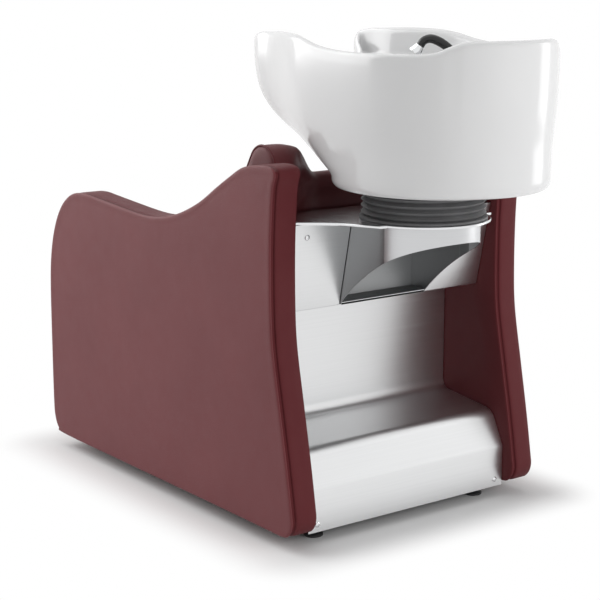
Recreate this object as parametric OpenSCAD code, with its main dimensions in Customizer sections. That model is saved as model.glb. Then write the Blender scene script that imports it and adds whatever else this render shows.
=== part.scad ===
// Salon wash unit: an upholstered seat with a tilting ceramic basin behind its backrest.
// +X is the width, -Y the client's feet, +Y the operator's side, +Z up, and the floor is at Z 0.

/* [Side panels] */
// Outer width over both side panels
unit_w = 660; // [600:5:760]
// Thickness of a side panel, board and padding together
side_t = 65; // [55:1:80]
// Thickness of a side board
side_board_t = 18; // [12:1:25]
// How far the padding's outer face rolls in at its edge
side_roll = 9; // [4:1:14]
// Depth of the sewn seam round the padding's edge
seam_depth = 2.2; // [1:0.2:4]

/* [Seat] */
// Front edge of the seat cushion, measured towards the feet
seat_front = 600; // [560:5:605]
// Rear edge of the seat cushion
seat_rear = 105; // [100:5:140]
// Height of the seat cushion's underside
seat_base_z = 335; // [300:5:350]
// Thickness of the seat cushion at its edge
seat_cushion_t = 100; // [70:5:120]
// Rise of the seat cushion's middle over its edge
seat_crown = 14; // [6:1:22]
// Thickness of the seat board
seat_board_t = 18; // [12:1:25]
// Thickness of the front valance's board
valance_board_t = 15; // [10:1:22]
// Thickness of the front valance's padding
valance_pad_t = 20; // [12:1:28]

/* [Backrest] */
// Lean of the backrest from the vertical, in degrees
back_lean = 31; // [25:0.5:33]
// Distance of the crest's centre behind the middle of the unit
crest_y = 152; // [140:1:158]
// Height of the crest's centre
crest_z = 741; // [725:1:745]
// Half the thickness of the backrest at its crest
crest_r = 45; // [38:1:48]
// Length of the backrest from its crest's centre to its lower end
back_len = 440; // [400:5:450]
// Thickness of the backrest board
back_board_t = 15; // [10:1:18]
// How far the middle of the crest drops to clear the basin
crest_drop = 70; // [65:1:90]
// Length of each end of the crest that keeps its full height
crest_end = 80; // [60:2:84]

/* [Steel covers] */
// Thickness of the cover sheets
sheet_t = 1.5; // [1:0.1:2.5]
// Thickness of the top plate
plate_t = 5; // [3:0.5:8]
// Height of the top plate's upper face
plate_z = 642; // [636:1:650]
// Radius of the round skirt under the top plate
skirt_r = 114; // [106:1:120]
// Radius of the top plate's round tongue
tongue_r = 138; // [134:1:148]

/* [Frame] */
// Side of the square frame tubes
tube_w = 40; // [35:1:45]
// Side of the slim frame tubes
slim_w = 30; // [25:1:32]
// Wall of the frame tubes
tube_wall = 2; // [1.5:0.5:3]
// Radius of a levelling foot's pad
foot_r = 20; // [15:1:25]
// Radius of a levelling foot's screw
foot_screw_r = 5; // [4:0.5:6]

/* [Basin] */
// Radius of the basin's lower edge
bowl_base_r = 210; // [205:1:212]
// Height of the basin's underside
bowl_z = 710; // [706:1:714]
// Thickness of the basin's walls
bowl_wall = 14; // [11:1:18]
// Height of the bowl's floor
bowl_floor_z = 732; // [728:1:738]
// Height of the rear deck that carries the tap
deck_z = 945; // [935:1:955]
// Width of the rolled lip round the rim
lip_w = 24; // [18:1:28]

/* [Tilt] */
// Distance of the tilt axis behind the middle of the unit
tilt_y = 343; // [338:1:348]
// Height of the tilt axis
tilt_z = 672; // [670:1:676]
// Radius of the tilt pins
pin_r = 6; // [5:0.5:7]
// Outer radius of the bellows over its ribs
bellows_r = 126; // [122:1:130]
// Number of ribs on the bellows
bellows_ribs = 4; // [3:1:6]
// Thickness of the plate under the basin
saddle_t = 6; // [4:0.5:8]

/* [Water fittings] */
// Distance of the mixer and of the shower socket from the middle
fitting_x = 80; // [70:1:90]
// Distance of both fittings behind the middle of the unit
fitting_y = 515; // [508:1:525]
// Radius of the mixer's barrel
mixer_r = 19; // [16:1:22]
// Radius of the hand shower's stem
stem_r = 9; // [7:0.5:10]
// Radius of the hand shower's arched neck
neck_r = 8; // [6:0.5:9]
// Outer radius of the waste tail
tail_r = 20; // [16:1:21]

/* [Hidden] */

vinyl = "#7a5052";
dark_vinyl = "#5e2c2f";
steel = "#b9bcc0";
black = "#1c1c1e";
ceramic = "#f2f3f4";

// Clearances between pieces
soft_gap = 0.3;
run_gap = 0.05;
side_gap = 1;
hole_gap = 0.3;
seat_gap = 0.2;

inner_x = unit_w / 2 - side_t;
cover_w = 2 * (inner_x - side_gap);
cushion_w = 2 * (inner_x - 3);
eps = 0.5;

// Side outline as points [y, z], from the front foot corner round to the rear and over the arm
side_outline = [[-570, 33], [-300, 32], [0, 32], [250, 31], [314, 31], [334, 41], [343, 63],
    [340, 90], [324, 181], [302, 291], [280, 404], [274, 490], [274, 609], [281, 709], [290, 741],
    [284, 755], [259, 760], [220, 757], [179, 748], [131, 723], [89, 699], [24, 661], [-52, 630],
    [-122, 614], [-203, 610], [-349, 620], [-400, 624], [-449, 627], [-497, 620], [-538, 598],
    [-570, 563], [-594, 516], [-609, 462], [-616, 400], [-618, 294], [-618, 113], [-613, 66], [-598, 42]];
side_mid = [-130, 330];

// Basin outline, right half from the rear centre to the neck centre:
// [angle on the base circle, rim x, rim y, rim height over the deck, mouth x, mouth y]
bowl_half = [[0, 0, 618, 55, 0, 462], [15, 57, 611, 55, 50, 462],
    [30, 110, 588.5, 54, 96, 459], [38, 135, 571, 45, 120, 456],
    [46, 158, 551, 34, 142, 450], [60, 190.5, 508, 31, 166, 432],
    [75, 212.5, 455, 31, 180, 405], [90, 220, 398, 31, 187, 372],
    [97, 220, 350, 32, 189, 335], [104, 220, 300, 34, 189, 295],
    [112, 220, 255, 39, 189, 255], [120, 217, 212, 50, 185, 215],
    [129, 203, 172, 57, 173, 176], [138, 178, 104, 58, 152, 114],
    [146, 165, 63, 57, 141, 78], [153, 154, 20, 55, 132, 50], [158, 147, -18, 53, 127, 34],
    [161, 136, -44, 45, 121, 30], [164, 120, -32, 29, 115, 34],
    [167, 106, -6, 10, 106, 42], [171, 84, 16, -20, 88, 60], [176, 46, 34, -55, 50, 79],
    [180, 0, 40, -69, 0, 84]];
bowl_c = [0, 398];
bowl_turn_z = 735;
bowl_rise = deck_z + 40 - bowl_turn_z;

function unit(v) = v / norm(v);

function cr(a, b, c, d, t) = 0.5 * (2 * b + (c - a) * t + (2 * a - 5 * b + 4 * c - d) * t * t
    + (3 * b - a - 3 * c + d) * t * t * t);

function smooth_loop(p, n) = let (m = len(p)) [for (i = [0 : m - 1], k = [0 : n - 1])
    cr(p[(i + m - 1) % m], p[i], p[(i + 1) % m], p[(i + 2) % m], k / n)];

// Moves each point of a loop that runs anticlockwise inwards by d
function inset(p, d) = let (m = len(p)) [for (i = [0 : m - 1])
    let (t = unit(p[(i + 1) % m] - p[(i + m - 1) % m])) p[i] + d * [-t[1], t[0]]];

// Rounds the corner b between a and c with radius r
function bend(a, b, c, r, n = 6) = let (u = unit(a - b), v = unit(c - b), half = acos(u * v) / 2,
    o = b + unit(u + v) * r / sin(half), p = b + u * r / tan(half) - o, q = b + v * r / tan(half) - o,
    a0 = atan2(p[1], p[0]), turn = (atan2(q[1], q[0]) - a0 + 540) % 360 - 180)
    [for (i = [0 : n]) o + r * [cos(a0 + turn * i / n), sin(a0 + turn * i / n)]];

// Outline of a sheet of thickness t that lies to the left of the path p
function sheet_outline(p, t) = concat(p, [for (i = [len(p) - 1 : -1 : 0])
    let (u = i == 0 ? unit(p[1] - p[0]) : unit(p[i] - p[i - 1]),
        v = i == len(p) - 1 ? u : unit(p[i + 1] - p[i]), w = unit(u + v))
    p[i] + t / (w * u) * [-w[1], w[0]]]);

// Rectangle with round corners and sides drawn in by d, as an anticlockwise loop
function pad_loop(w, h, r, d) = [for (q = [0 : 3], k = [0 : 7])
    let (sx = q == 0 || q == 3 ? 1 : -1, sy = q < 2 ? 1 : -1, a = 90 * q + 22.5 * k,
        along = (k - 4) / 4, cx = sx * (w / 2 - r), cy = sy * (h / 2 - r),
        pull = d * (1 - pow(2 * along - 1, 2)))
    k <= 4 ? [cx + r * cos(a), cy + r * sin(a)]
        : q % 2 == 0 ? [cx * (1 - 2 * along), sy * (h / 2 - pull)]
        : [sx * (w / 2 - pull), cy * (1 - 2 * along)]];

// Closed surface through rings of equal length, with flat caps
module skin(rings) {
    n = len(rings[0]);
    m = len(rings);
    sides = [for (k = [0 : m - 2], i = [0 : n - 1]) let (j = (i + 1) % n)
        each [[k * n + i, (k + 1) * n + j, k * n + j], [k * n + i, (k + 1) * n + i, (k + 1) * n + j]]];
    caps = [[for (i = [0 : n - 1]) i], [for (i = [n - 1 : -1 : 0]) (m - 1) * n + i]];
    polyhedron([for (r = rings) each r], concat(sides, caps), convexity = 8);
}

module along_x(w) {
    rotate([90, 0, 90]) linear_extrude(w, center = true) children();
}

module at_each(xs, ys) {
    for (x = xs, y = ys) translate([x, y, 0]) children();
}

// Frame tube with closed ends, from one corner
module tube(size) {
    difference() {
        cube(size);
        translate([1, 1, 1] * tube_wall) cube([for (s = size) s - 2 * tube_wall]);
    }
}

// Base frame: two rails on four bosses, joined by cross tubes that reach the side boards
rail_x = inner_x - 46;
rail_z = 31;
valance_face = 596;
rail_front = valance_pad_t + valance_board_t - valance_face;
kick_y = 312;
rail_rear = kick_y;
foot_y = [-540, 270];
boss_r = 12;
cross_y = [-505, -130, 90, 235];
screw_room = tube_w - 4;

module base_frame() {
    color(steel) difference() {
        union() {
            at_each([-rail_x, rail_x], [rail_front]) translate([-tube_w / 2, 0, rail_z])
                tube([tube_w, rail_rear - rail_front, tube_w]);
            at_each([-rail_x, rail_x], foot_y) translate([0, 0, rail_z])
                cylinder(r = boss_r, h = tube_w, $fn = 40);
            for (y = cross_y) translate([-inner_x, y - slim_w / 2, rail_z + tube_w])
                cube([2 * inner_x, slim_w, slim_w]);
        }
        at_each([-rail_x, rail_x], foot_y) translate([0, 0, rail_z - eps])
            cylinder(r = foot_screw_r + run_gap, h = screw_room + eps, $fn = 40);
        for (y = cross_y) translate([-inner_x - eps, y - slim_w / 2 + tube_wall, rail_z + tube_w + tube_wall])
            cube([2 * (inner_x + eps), slim_w - 2 * tube_wall, slim_w - 2 * tube_wall]);
    }
}

// Seat frame: four legs on the base frame's cross tubes and a ring of slim tube under the board
seat_top = seat_base_z - seat_board_t;
seat_leg_z = rail_z + tube_w + slim_w;
seat_leg_x = inner_x - 85;

module seat_frame() {
    legs_y = [cross_y[0], cross_y[1]];
    color(steel) {
        at_each([-seat_leg_x, seat_leg_x], legs_y) translate([-slim_w / 2, -slim_w / 2, seat_leg_z])
            tube([slim_w, slim_w, seat_top - slim_w - seat_leg_z]);
        for (y = legs_y) translate([-inner_x, y - slim_w / 2, seat_top - slim_w])
            tube([2 * inner_x, slim_w, slim_w]);
        for (x = [-seat_leg_x, seat_leg_x])
            translate([x - slim_w / 2, legs_y[0] + slim_w / 2, seat_top - slim_w])
            tube([slim_w, legs_y[1] - legs_y[0] - slim_w, slim_w]);
    }
}

// Rear frame: uprights behind the backrest, stubs over the lower cover, posts and basin arms
upright_x = inner_x - 85;
upright_y = 90;
return_z = 455;
stub_z = return_z + sheet_t;
post_y = 162;
arm_x = 58;
arm_end = tilt_y + 80;
beam_z = plate_z - plate_t - slim_w;

module rear_frame() {
    color(steel) {
        at_each([-upright_x, upright_x], [upright_y]) translate([-slim_w / 2, -slim_w / 2, seat_leg_z])
            tube([slim_w, slim_w, stub_z - seat_leg_z]);
        for (x = [-upright_x, upright_x]) {
            translate([x - slim_w / 2, upright_y - slim_w / 2, stub_z])
                tube([slim_w, post_y + slim_w - upright_y, slim_w]);
            translate([x - slim_w / 2, post_y - slim_w / 2, stub_z + slim_w])
                tube([slim_w, slim_w, beam_z - stub_z - slim_w]);
        }
        translate([-upright_x - slim_w / 2, post_y - slim_w / 2, beam_z])
            tube([2 * upright_x + slim_w, slim_w, slim_w]);
        for (x = [-arm_x, arm_x]) translate([x - slim_w / 2, post_y + slim_w / 2, beam_z])
            tube([slim_w, arm_end - post_y - slim_w / 2, slim_w]);
    }
}

module side_board() {
    color(dark_vinyl) translate([inner_x + side_board_t / 2, 0, 0])
        along_x(side_board_t) polygon(smooth_loop(side_outline, 2));
}

module side_board_right() {
    side_board();
}

module side_board_left() {
    mirror([1, 0, 0]) side_board();
}

// Side padding: a sewn seam round the edge, a rolled edge and a slightly crowned face
module side_pad() {
    loop = smooth_loop(side_outline, 2);
    x0 = inner_x + side_board_t;
    x1 = unit_w / 2;
    seam_x = x1 - 20;
    edge = [[x0, 0], [seam_x - 3, 0], [seam_x, seam_depth], [seam_x + 3, 0], [x1 - side_roll, 0],
        [x1 - side_roll * 0.5, side_roll * 0.14], [x1 - side_roll * 0.25, side_roll * 0.4],
        [x1 - side_roll * 0.12, side_roll]];
    face = [[0.93, 0.06], [0.75, 0.02], [0.4, 0], [0.08, 0]];
    rolled = inset(loop, side_roll);
    color(vinyl) skin([for (e = edge) [for (p = inset(loop, e[1])) [e[0], p[0], p[1]]],
        for (f = face) [for (p = rolled)
            let (q = side_mid + (p - side_mid) * f[0]) [x1 - side_roll * f[1], q[0], q[1]]]]);
}

module side_pad_right() {
    side_pad();
}

module side_pad_left() {
    mirror([1, 0, 0]) side_pad();
}

module seat_board() {
    front = valance_face - valance_pad_t;
    board_step = 8;
    color("#a9825a") translate([-cushion_w / 2, -front, seat_top])
        cube([cushion_w, front - seat_rear - board_step, seat_board_t]);
}

// Cushion over the loop's rings: a rounded foot, drawn-in sides, a seam and a crowned top
module crowned_pad(w, h, t, crown) {
    r = 28;
    drawn = 5;
    edge = [[0, 7], [6, 1], [t * 0.45, 0], [t - 22, 1], [t - 17, 2.6], [t - 12, 1], [t - 5, 5], [t, 14]];
    face = [[0.9, 0.35], [0.7, 0.72], [0.4, 0.95], [0.1, 1]];
    base = pad_loop(w, h, r, drawn);
    top = inset(base, 14);
    skin([for (e = edge) [for (p = inset(base, e[1])) [p[0], p[1], e[0]]],
        for (f = face) [for (p = top) [p[0] * f[0], p[1] * f[0], t + crown * f[1]]]]);
}

module seat_cushion() {
    color(dark_vinyl) translate([0, -(seat_front + seat_rear) / 2, seat_base_z])
        crowned_pad(cushion_w, seat_front - seat_rear, seat_cushion_t, seat_crown);
}

// Front valance under the seat's front edge
valance_foot = 60;

module front_board() {
    color("#a9825a") translate([-inner_x, -valance_face + valance_pad_t, valance_foot])
        cube([2 * inner_x, valance_board_t, seat_top - valance_foot]);
}

module front_pad() {
    high = seat_base_z - soft_gap - valance_foot;
    roll = 6;
    t = valance_pad_t;
    base = pad_loop(cushion_w, high, 14, 2);
    edge = [[0, 0], [t - roll, 0], [t - 2, 2], [t - 0.6, roll]];
    color(dark_vinyl) translate([0, -valance_face + t, valance_foot + high / 2]) rotate([90, 0, 0])
        skin([for (e = edge) [for (p = inset(base, e[1])) [p[0], p[1], e[0]]],
            for (f = [0.9, 0.5, 0.1]) [for (p = inset(base, roll)) [p[0] * f, p[1] * f, t - 0.3 * f]]]);
}

// Backrest in its own plane: s runs down from the crest's centre, n points to the rear
back_down = [-sin(back_lean), -cos(back_lean)];
back_rear = [cos(back_lean), -sin(back_lean)];
board_front = crest_r - back_board_t;
board_top = crest_drop + crest_r + 20;

function back_point(s, n) = [crest_y, crest_z] + back_down * s + back_rear * n;

// Share of the crest's drop at a distance x from the middle
crest_fall = 40;
function drop_share(x) = let (t = max(0, min(1, (cushion_w / 2 - crest_end - abs(x)) / crest_fall)))
    t * t * (3 - 2 * t);

// Section of the cushion as [s, n] points, with its crest lowered and its outline drawn in
function back_section(drop, in) = let (r = crest_r - in, foot = back_len - in)
    concat([for (k = [0 : 10]) [drop - r * sin(18 * k), -r * cos(18 * k)]],
        [for (k = [1 : 3]) [drop + (board_top - 2 - drop) * k / 3, r]],
        [[board_top, board_front], [back_len * 0.65, board_front], [foot - 6, board_front],
        [foot, board_front - 8], [foot, -r * 0.5], [foot - 10, -r + 4], [back_len * 0.85, -r - 4],
        [back_len * 0.6, -r - 3], [back_len * 0.42, -r + 1], [back_len * 0.33, -r]]);

module backrest_cushion() {
    half = cushion_w / 2;
    fall = [for (k = [-0.2, 0.09, 0.28, 0.48, 0.7, 0.96]) [half - crest_end - k * crest_fall, 0]];
    right = concat([[half, 12], [half - 2, 5], [half - 8, 1], [half - 16, 0]], fall,
        [[half * 0.45, 0], [half * 0.2, 0]]);
    left = [for (k = [len(right) - 1 : -1 : 0]) [-right[k][0], right[k][1]]];
    color(dark_vinyl) skin([for (e = concat(right, left))
        [for (q = back_section(crest_drop * drop_share(e[0]), e[1]))
            let (p = back_point(q[0], q[1])) [e[0], p[0], p[1]]]]);
}

module backrest_board() {
    a = back_point(board_top + 1, board_front);
    b = back_point(back_len - 8, board_front);
    depth = back_rear * back_board_t;
    color("#a9825a") along_x(cushion_w) polygon([a, b, b + depth, a + depth]);
}

// Lower rear cover: back, shelf and kick from one bent sheet
cover_y = 116;
kick_foot = 23;
lower_corners = [[cover_y, return_z], [cover_y, 202], [276, 184], [kick_y, 111], [kick_y, kick_foot]];
lower_bends = [25, 30, 12];
lower_path = [lower_corners[0], for (k = [1 : 3])
    each bend(lower_corners[k - 1], lower_corners[k], lower_corners[k + 1], lower_bends[k - 1]),
    lower_corners[4]];

module lower_rear_cover() {
    color(steel) difference() {
        along_x(cover_w) polygon(sheet_outline(lower_path, sheet_t));
        kick_screws() screw_hole();
    }
}

// Upper rear cover: underside, slanted panel with a cut-out, and the skirt under the tongue
slant_foot = [219, return_z];
slant_head = [258, plate_z - plate_t];
skirt_front = 190;
skirt_arc_r = 550;
skirt_low_y = slant_foot[0];
skirt_low_z = return_z + 2;
skirt_end_z = plate_z - 39;

module skirt_plan(r, front) {
    translate([0, tilt_y]) circle(r = r, $fn = 96);
    translate([-r, front]) square([2 * r, tilt_y - front]);
}

// Region under the skirt's curved lower edge, seen from the side
function skirt_arc() = let (a = [skirt_low_y, skirt_low_z], b = [tilt_y + skirt_r, skirt_end_z],
    mid = (a + b) / 2, half = norm(b - a) / 2, along = unit(b - a),
    o = mid + [along[1], -along[0]] * sqrt(skirt_arc_r * skirt_arc_r - half * half),
    a0 = atan2(a[1] - o[1], a[0] - o[0]), a1 = atan2(b[1] - o[1], b[0] - o[0]))
    [for (k = [0 : 12]) o + skirt_arc_r * [cos(a0 + (a1 - a0) * k / 12), sin(a0 + (a1 - a0) * k / 12)]];

module upper_rear_cover() {
    below = return_z - 50;
    color(steel) {
        difference() {
            along_x(cover_w) polygon(sheet_outline([[cover_y, return_z], slant_foot, slant_head], sheet_t));
            slant_screws() screw_hole();
            translate([-skirt_r + sheet_t, skirt_front, stub_z + eps])
                cube([2 * (skirt_r - sheet_t), skirt_r, plate_z]);
            translate([-cover_w / 2 - eps, cover_y, plate_z - plate_t])
                cube([cover_w + 2 * eps, tilt_y, tube_w]);
        }
        difference() {
            translate([0, 0, skirt_low_z]) linear_extrude(plate_z - plate_t - skirt_low_z) difference() {
                skirt_plan(skirt_r, skirt_front);
                skirt_plan(skirt_r - sheet_t, skirt_front - 10);
            }
            along_x(3 * skirt_r) polygon(concat(skirt_arc(), [[tilt_y + 2 * skirt_r, skirt_end_z],
                [tilt_y + 2 * skirt_r, below], [skirt_low_y, below]]));
            along_x(3 * skirt_r) polygon([slant_foot - [sheet_t, 0], slant_head - [sheet_t, 0],
                slant_head + [-sheet_t, 20], [cover_y, plate_z], [cover_y, below],
                [slant_foot[0] - sheet_t, below]]);
        }
    }
}

// Pocket tray: lip, floor, back and ceiling from one bent sheet, and two cheeks
tray_x = skirt_r - sheet_t - 1;
tray_back = 180;
tray_lip_y = slant_foot[0] + 2;
tray_foot_z = return_z - 7;
tray_floor_z = return_z + 6;
tray_ceiling = beam_z - sheet_t;

module pocket_tray() {
    reach = tilt_y + skirt_r - 5;
    rear_z = tray_floor_z + 2;
    path = [[tray_lip_y, tray_foot_z], [tray_lip_y, tray_floor_z], [tray_back, rear_z],
        [tray_back, tray_ceiling], [reach, tray_ceiling]];
    color(steel) {
        intersection() {
            along_x(2 * tray_x) polygon(sheet_outline(path, -sheet_t));
            translate([0, 0, tray_foot_z - eps]) linear_extrude(plate_z - tray_foot_z) difference() {
                skirt_plan(tray_x, tray_back - 10);
                translate([0, tilt_y]) circle(r = tail_hole_r, $fn = 60);
            }
        }
        for (s = [-1, 1]) translate([s * (tray_x - sheet_t / 2), 0, 0]) along_x(sheet_t)
            polygon([[tray_back, rear_z], [tray_lip_y, tray_floor_z], [tray_lip_y + 32, tray_ceiling],
                [tray_back, tray_ceiling]]);
    }
}

// Top plate: straight front edge behind the backrest, and a tongue under the basin
plate_front = 146;
plate_flank = [[264, 238], [245, 255], [213, 280], [186, 307], [172, 331], [160, 356], [147, 383]];
tail_hole_r = 36;

module top_plate() {
    right = [for (p = plate_flank) [min(p[0], cover_w / 2), p[1]]];
    tongue = [for (a = [20 : 10 : 160]) [tongue_r * cos(a), tilt_y - 5 + tongue_r * sin(a)]];
    left = [for (k = [len(right) - 1 : -1 : 0]) [-right[k][0], right[k][1]]];
    color("#d8dadd") translate([0, 0, plate_z - plate_t]) difference() {
        linear_extrude(plate_t) polygon(concat([[-cover_w / 2, plate_front], [cover_w / 2, plate_front]],
            right, tongue, left));
        translate([0, tilt_y, -eps]) cylinder(r = tail_hole_r, h = plate_t + 2 * eps, $fn = 60);
        at_each([-arm_x, arm_x], bolt_y) translate([0, 0, -eps])
            cylinder(r = bolt_r + hole_gap, h = plate_t + 2 * eps, $fn = 32);
    }
}

// Cover screws: pan heads on the slanted panel and at the kick
screw_x = [cover_w / 2 - 42, cover_w / 2 - 22];
screw_z = [plate_z - 32, rail_z + 8];
screw_head_r = 6;
screw_r = 2.5;
screw_len = 14;

module pan_screw() {
    cylinder(r1 = screw_head_r, r2 = screw_head_r - 2, h = screw_head_r / 2, $fn = 32);
    translate([0, 0, -screw_len]) cylinder(r = screw_r, h = screw_len, $fn = 24);
}

module screw_hole() {
    cylinder(r = screw_r + hole_gap, h = 12, center = true, $fn = 24);
}

module slant_screws() {
    slant = atan2(slant_head[0] - slant_foot[0], slant_head[1] - slant_foot[1]);
    share = (screw_z[0] - slant_foot[1]) / (slant_head[1] - slant_foot[1]);
    spot = slant_foot + (slant_head - slant_foot) * share;
    for (s = [-1, 1]) translate([s * screw_x[0], spot[0], spot[1]]) rotate([-90 - slant, 0, 0]) children();
}

module kick_screws() {
    for (s = [-1, 1]) translate([s * screw_x[1], kick_y + sheet_t, screw_z[1]])
        rotate([-90, 0, 0]) children();
}

module cover_screws() {
    color("#d8dadd") {
        slant_screws() pan_screw();
        kick_screws() pan_screw();
    }
}

// Tilt fork: a base plate on the arms and two ears for the pins
fork_base = [156, 112, 8];
ear_in = 40;
ear_t = 8;
ear_r = 20;
bolt_r = 4;
bolt_reach = 40;
bolt_y = [tilt_y - bolt_reach, tilt_y + bolt_reach];

module tilt_fork() {
    ear_foot = plate_z + fork_base[2] - eps;
    color("#3a3c40") difference() {
        union() {
            translate([-fork_base[0] / 2, tilt_y - fork_base[1] / 2, plate_z]) cube(fork_base);
            for (s = [-1, 1]) translate([s * (ear_in + ear_t / 2), 0, 0]) along_x(ear_t) {
                translate([tilt_y - ear_r, ear_foot]) square([2 * ear_r, tilt_z - ear_foot]);
                translate([tilt_y, tilt_z]) circle(r = ear_r, $fn = 48);
            }
        }
        translate([0, tilt_y, plate_z - eps]) cylinder(r = tail_hole_r, h = fork_base[2] + 2 * eps, $fn = 60);
        translate([0, tilt_y, tilt_z]) rotate([0, 90, 0])
            cylinder(r = pin_r, h = fork_base[0], center = true, $fn = 48);
        at_each([-arm_x, arm_x], bolt_y) translate([0, 0, plate_z - eps])
            cylinder(r = bolt_r + hole_gap, h = fork_base[2] + 2 * eps, $fn = 32);
    }
}

module fork_bolts() {
    color("#d8dadd") at_each([-arm_x, arm_x], bolt_y) {
        translate([0, 0, plate_z + fork_base[2]]) cylinder(r = bolt_r + 3.5, h = bolt_r + 1.5, $fn = 6);
        translate([0, 0, beam_z + slim_w]) cylinder(r = bolt_r, h = plate_t + fork_base[2], $fn = 32);
    }
}

// Tilt pins, fixed in the ears and free in the saddle's lugs
lug_in = 30.5;
lug_t = ear_in - lug_in - side_gap / 2;

module tilt_pins() {
    color("#d8dadd") for (s = [-1, 1]) translate([s * lug_in, tilt_y, tilt_z]) rotate([0, s * 90, 0]) {
        cylinder(r = pin_r, h = ear_in + ear_t - lug_in, $fn = 48);
        translate([0, 0, ear_in + ear_t - lug_in]) cylinder(r = pin_r + 4, h = 4, $fn = 48);
    }
}

// Tilt saddle: a round plate under the basin with two lugs
saddle_r = 130;
lug_r = 15;
saddle_z = bowl_z - saddle_t;

module tilt_saddle() {
    color("#3a3c40") difference() {
        union() {
            translate([0, tilt_y, saddle_z]) cylinder(r = saddle_r, h = saddle_t, $fn = 96);
            for (s = [-1, 1]) translate([s * (lug_in + lug_t / 2), 0, 0]) along_x(lug_t) {
                translate([tilt_y - lug_r, tilt_z]) square([2 * lug_r, saddle_z - tilt_z + eps]);
                translate([tilt_y, tilt_z]) circle(r = lug_r, $fn = 48);
            }
        }
        translate([0, tilt_y, saddle_z - eps])
            cylinder(r = tail_r + hole_gap, h = saddle_t + 2 * eps, $fn = 60);
        translate([0, tilt_y, tilt_z]) rotate([0, 90, 0])
            cylinder(r = pin_r + run_gap, h = 2 * ear_in, center = true, $fn = 48);
    }
}

// Bellows: a ribbed sleeve with a foot ring on the top plate and a head ring under the saddle
bellows_wall = 4;
rib_depth = 9;

module bellows() {
    low = plate_z + soft_gap;
    high = saddle_z - soft_gap;
    ring_h = 6;
    pitch = (high - low - 2 * ring_h) / bellows_ribs;
    rib = [[-rib_depth, 0], [-1, 0.36], [-1, 0.64]];
    wave = [for (k = [0 : bellows_ribs - 1], p = rib) [bellows_r + p[0], low + ring_h + pitch * (k + p[1])]];
    outer = concat([[bellows_r + 2, low], [bellows_r + 2, low + ring_h - 1.5]], wave,
        [[bellows_r - rib_depth, high - ring_h], [bellows_r, high - ring_h + 1.5], [bellows_r, high]]);
    inner = [for (k = [len(outer) - 1 : -1 : 0]) outer[k] - [bellows_wall, 0]];
    color(black) translate([0, tilt_y, 0]) rotate_extrude($fn = 96) polygon(concat(outer, inner));
}

// Levelling foot: pad, hexagon and a screw that runs in the rail's boss
module foot(x, y) {
    pad_t = 5;
    hex_z = 12;
    hex_r = foot_screw_r + 4;
    color(black) translate([x, y, 0]) {
        cylinder(r = foot_r, h = pad_t, $fn = 48);
        translate([0, 0, pad_t]) cylinder(r1 = foot_r - 1, r2 = hex_r, h = hex_z - pad_t, $fn = 48);
        translate([0, 0, hex_z]) cylinder(r = hex_r, h = rail_z - soft_gap - hex_z, $fn = 6);
        translate([0, 0, rail_z - soft_gap]) cylinder(r = foot_screw_r, h = screw_room - 3, $fn = 40);
    }
}

module foot_front_left() {
    foot(-rail_x, foot_y[0]);
}

module foot_front_right() {
    foot(rail_x, foot_y[0]);
}

module foot_rear_left() {
    foot(-rail_x, foot_y[1]);
}

module foot_rear_right() {
    foot(rail_x, foot_y[1]);
}

// Basin
bowl_loop = concat(bowl_half, [for (k = [len(bowl_half) - 2 : -1 : 1])
    let (b = bowl_half[k]) [-b[0], -b[1], b[2], b[3], -b[4], b[5]]]);
floor_c = [0, 335];
floor_half = [135, 95];

// The outer wall bulges more in the rows under the wings
function wall_power(b) = 2.4 + 0.6 * max(0, min(1, (abs(b[0]) - 95) / 25));

// How far the wall has swept from the base circle to the rim in the row b at height z
function sweep(b, z) = 1 - pow(1 - max(0, min(1, (z - bowl_turn_z) / bowl_rise)), wall_power(b));

function base_xy(b, in) = bowl_c + (bowl_base_r - in) * [sin(b[0]), cos(b[0])];
function rim_xy(b) = [b[1], b[2]];
function mouth_xy(b) = [b[4], b[5]];
function rim_z(b) = deck_z + b[3];
function mouth_z(b) = min(deck_z, rim_z(b) - 36);
function floor_xy(b) = floor_c + [floor_half[0] * sin(b[0]), floor_half[1] * cos(b[0])];
function up(p, z) = [p[0], p[1], z];

function wall_point(b, z, in) = let (f = min(1, sweep(b, z) / sweep(b, rim_z(b) - 12)))
    up(base_xy(b, in) * (1 - f) + rim_xy(b) * f, z);

// Point on the lip, d in from the rim and down below its top
function lip_point(b, d, down) = let (v = mouth_xy(b) - rim_xy(b), l = norm(v), share = d / lip_w)
    up(rim_xy(b) + v / l * min(d, 0.82 * l * share), rim_z(b) - down);

// The bowl's wall is steep at the sides and follows the flat underside at the neck
function bowl_power(b) = 2.4 - 0.8 * max(0, min(1, (abs(b[0]) - 120) / 45));

function bowl_point(b, t) = let (f = 1 - pow(1 - t, bowl_power(b)), z0 = mouth_z(b))
    up(floor_xy(b) * (1 - f) + mouth_xy(b) * f, bowl_floor_z + (z0 - bowl_floor_z) * t);

// Between lip and mouth: the drop to the deck at the rear, the start of the bowl elsewhere
function deck_point(b, d, share, rise) = let (v = mouth_xy(b) - rim_xy(b), l = norm(v))
    up(rim_xy(b) + v / l * min(lip_w + d, share * l), mouth_z(b) + rise);

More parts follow.
